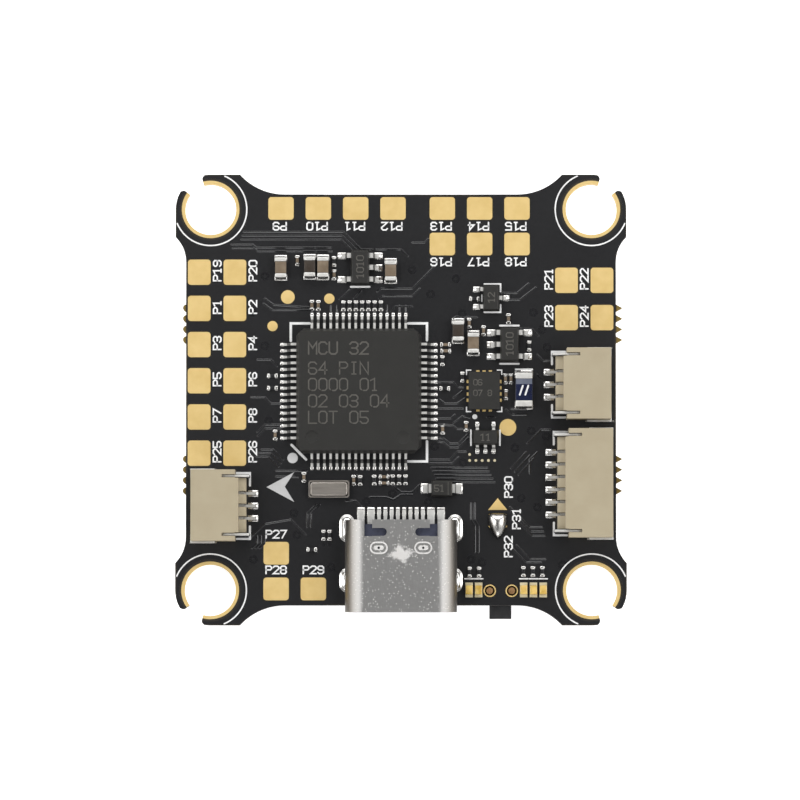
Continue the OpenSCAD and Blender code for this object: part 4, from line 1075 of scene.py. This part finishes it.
outline_piece("pad_labels", draw_labels, "solder_mask", WHITE_INK)
outline_piece("printed_marks", draw_marks, "solder_mask", WHITE_INK)
outline_piece("underside_marks", draw_under_marks, "solder_mask", WHITE_INK)
outline_piece("underside_relief", draw_under_traces, "solder_mask", MASK_RELIEF, smooth=15)
outline_piece("forward_arrow", draw_arrow, "solder_mask", PALE_INK)
outline_piece("test_dots", draw_dot_row, "gold_plating", MATERIALS["led_substrate"])
outline_piece("copper_relief", draw_traces, "solder_mask", MASK_RELIEF, smooth=15)
outline_piece("via_rings", draw_vias, "solder_mask", MASK_RELIEF, smooth=15)
outline_piece("lead_solder", draw_solder, "solder", MATERIALS["solder"], smooth=60)
leg_solder = outline_piece("leg_solder_collars", draw_leg_solder, "solder", MATERIALS["solder"], smooth=60)
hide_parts("usb_leg_solder")
outline_piece("tab_solder", draw_tab_solder, "solder", MATERIALS["solder"])
bridge = outline_piece("selector_solder", draw_bridge, "solder", MATERIALS["solder"], smooth=60)
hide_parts("solder_bridge")
# The catches' rims and islands, in the lighter copy of the steel that paints a highlight on them.
outline_piece("shell_dimples", draw_dimples, "usb_steel", PAINTED_HIGHLIGHT_STEEL)
# Dark discs in the middle of the catches: painted shade.
outline_piece("shell_dimple_shade", draw_dimple_shade, "usb_steel", MATERIALS["button_plastic"])
outline_piece("crystal_rim", draw_crystal_rim, "crystal_lid", MATERIALS["crystal_lid"])
outline_piece("chip_marks", draw_chip_marks, "chip_epoxy", GREY_INK)
outline_piece("light_marks", draw_fuse_strokes, "chip_epoxy", WHITE_INK)
outline_piece("fuse_band", draw_fuse_band, "fuse_glaze", FUSE_BAND_TONE)


# ---------------------------------------------------------------- stage, lights, camera

FLOOR_DROP = 0.00002
FLOOR_GLOW = 0.65
ZENITH = 0.13
WORLD = 0.57
LENS, SENSOR = 300, 36
SHOWN = 0.0640  # how much of the floor the picture spans, in metres
LEAN = 2.5  # in front of straight down, in degrees


def add_floor():
    bm = bmesh.new()
    bmesh.ops.create_grid(bm, x_segments=1, y_segments=1, size=1.5)
    mesh = bpy.data.meshes.new("floor")
    bm.to_mesh(mesh)
    bm.free()
    floor = bpy.data.objects.new("floor", mesh)
    floor.location.z = CAD_BOX[0].z - FLOOR_DROP
    bpy.context.scene.collection.objects.link(floor)
    mat, _, shader = new_material("floor")
    shader.inputs["Base Color"].default_value = (0.93, 0.93, 0.93, 1)
    shader.inputs["Roughness"].default_value = 0.9
    shader.inputs["Emission Color"].default_value = (1, 1, 1, 1)
    shader.inputs["Emission Strength"].default_value = FLOOR_GLOW
    mesh.materials.append(mat)


def add_light(name, place, size, watts):
    """A rectangular softbox, at its place in metres, that faces the board's middle."""
    data = bpy.data.lights.new(name, "AREA")
    data.shape = "RECTANGLE"
    data.size, data.size_y = size
    data.energy = watts
    lamp = bpy.data.objects.new(name, data)
    lamp.location = place
    lamp.rotation_euler = (Vector() - Vector(place)).to_track_quat("-Z", "Y").to_euler()
    lamp.visible_camera = False
    bpy.context.scene.collection.objects.link(lamp)


def add_world():
    """A studio tent: dim straight above, bright from the walls."""
    world = bpy.data.worlds.new("studio")
    world.use_nodes = True
    tree = world.node_tree
    place = tree.nodes.new("ShaderNodeTexCoord")
    split = tree.nodes.new("ShaderNodeSeparateXYZ")
    tree.links.new(place.outputs["Generated"], split.inputs["Vector"])
    shade = ramp(tree, split.outputs["Z"], [(0.0, (1.0,) * 3), (0.55, (0.95,) * 3), (0.86, (0.30,) * 3),
                                            (0.97, (ZENITH,) * 3)])
    tree.links.new(shade, tree.nodes["Background"].inputs["Color"])
    tree.nodes["Background"].inputs["Strength"].default_value = WORLD
    bpy.context.scene.world = world


def add_camera():
    data = bpy.data.cameras.new("camera")
    data.lens, data.sensor_width = LENS, SENSOR
    data.clip_start, data.clip_end = 0.02, 10
    camera = bpy.data.objects.new("camera", data)
    distance = SHOWN * LENS / SENSOR
    lean = math.radians(LEAN)
    camera.location = (-0.00008, -0.00003 - distance * math.sin(lean), distance * math.cos(lean) + TOP * MM)
    camera.rotation_euler = (lean, 0, 0)
    bpy.context.scene.collection.objects.link(camera)
    bpy.context.scene.camera = camera


add_floor()
add_world()
add_light("back_softbox", (0.0, 0.30, 0.24), (0.5, 0.16), 0.9)
add_light("left_softbox", (-0.30, 0.0, 0.20), (0.16, 0.5), 0.72)
add_light("right_softbox", (0.30, 0.0, 0.20), (0.16, 0.5), 0.72)
add_light("front_fill", (0.0, -0.34, 0.24), (0.4, 0.12), 0.42)
add_light("glare_softbox", (0.0, 0.072, 0.125), (0.10, 0.03), 0.012)
add_camera()
bpy.context.scene.view_settings.view_transform = "Standard"
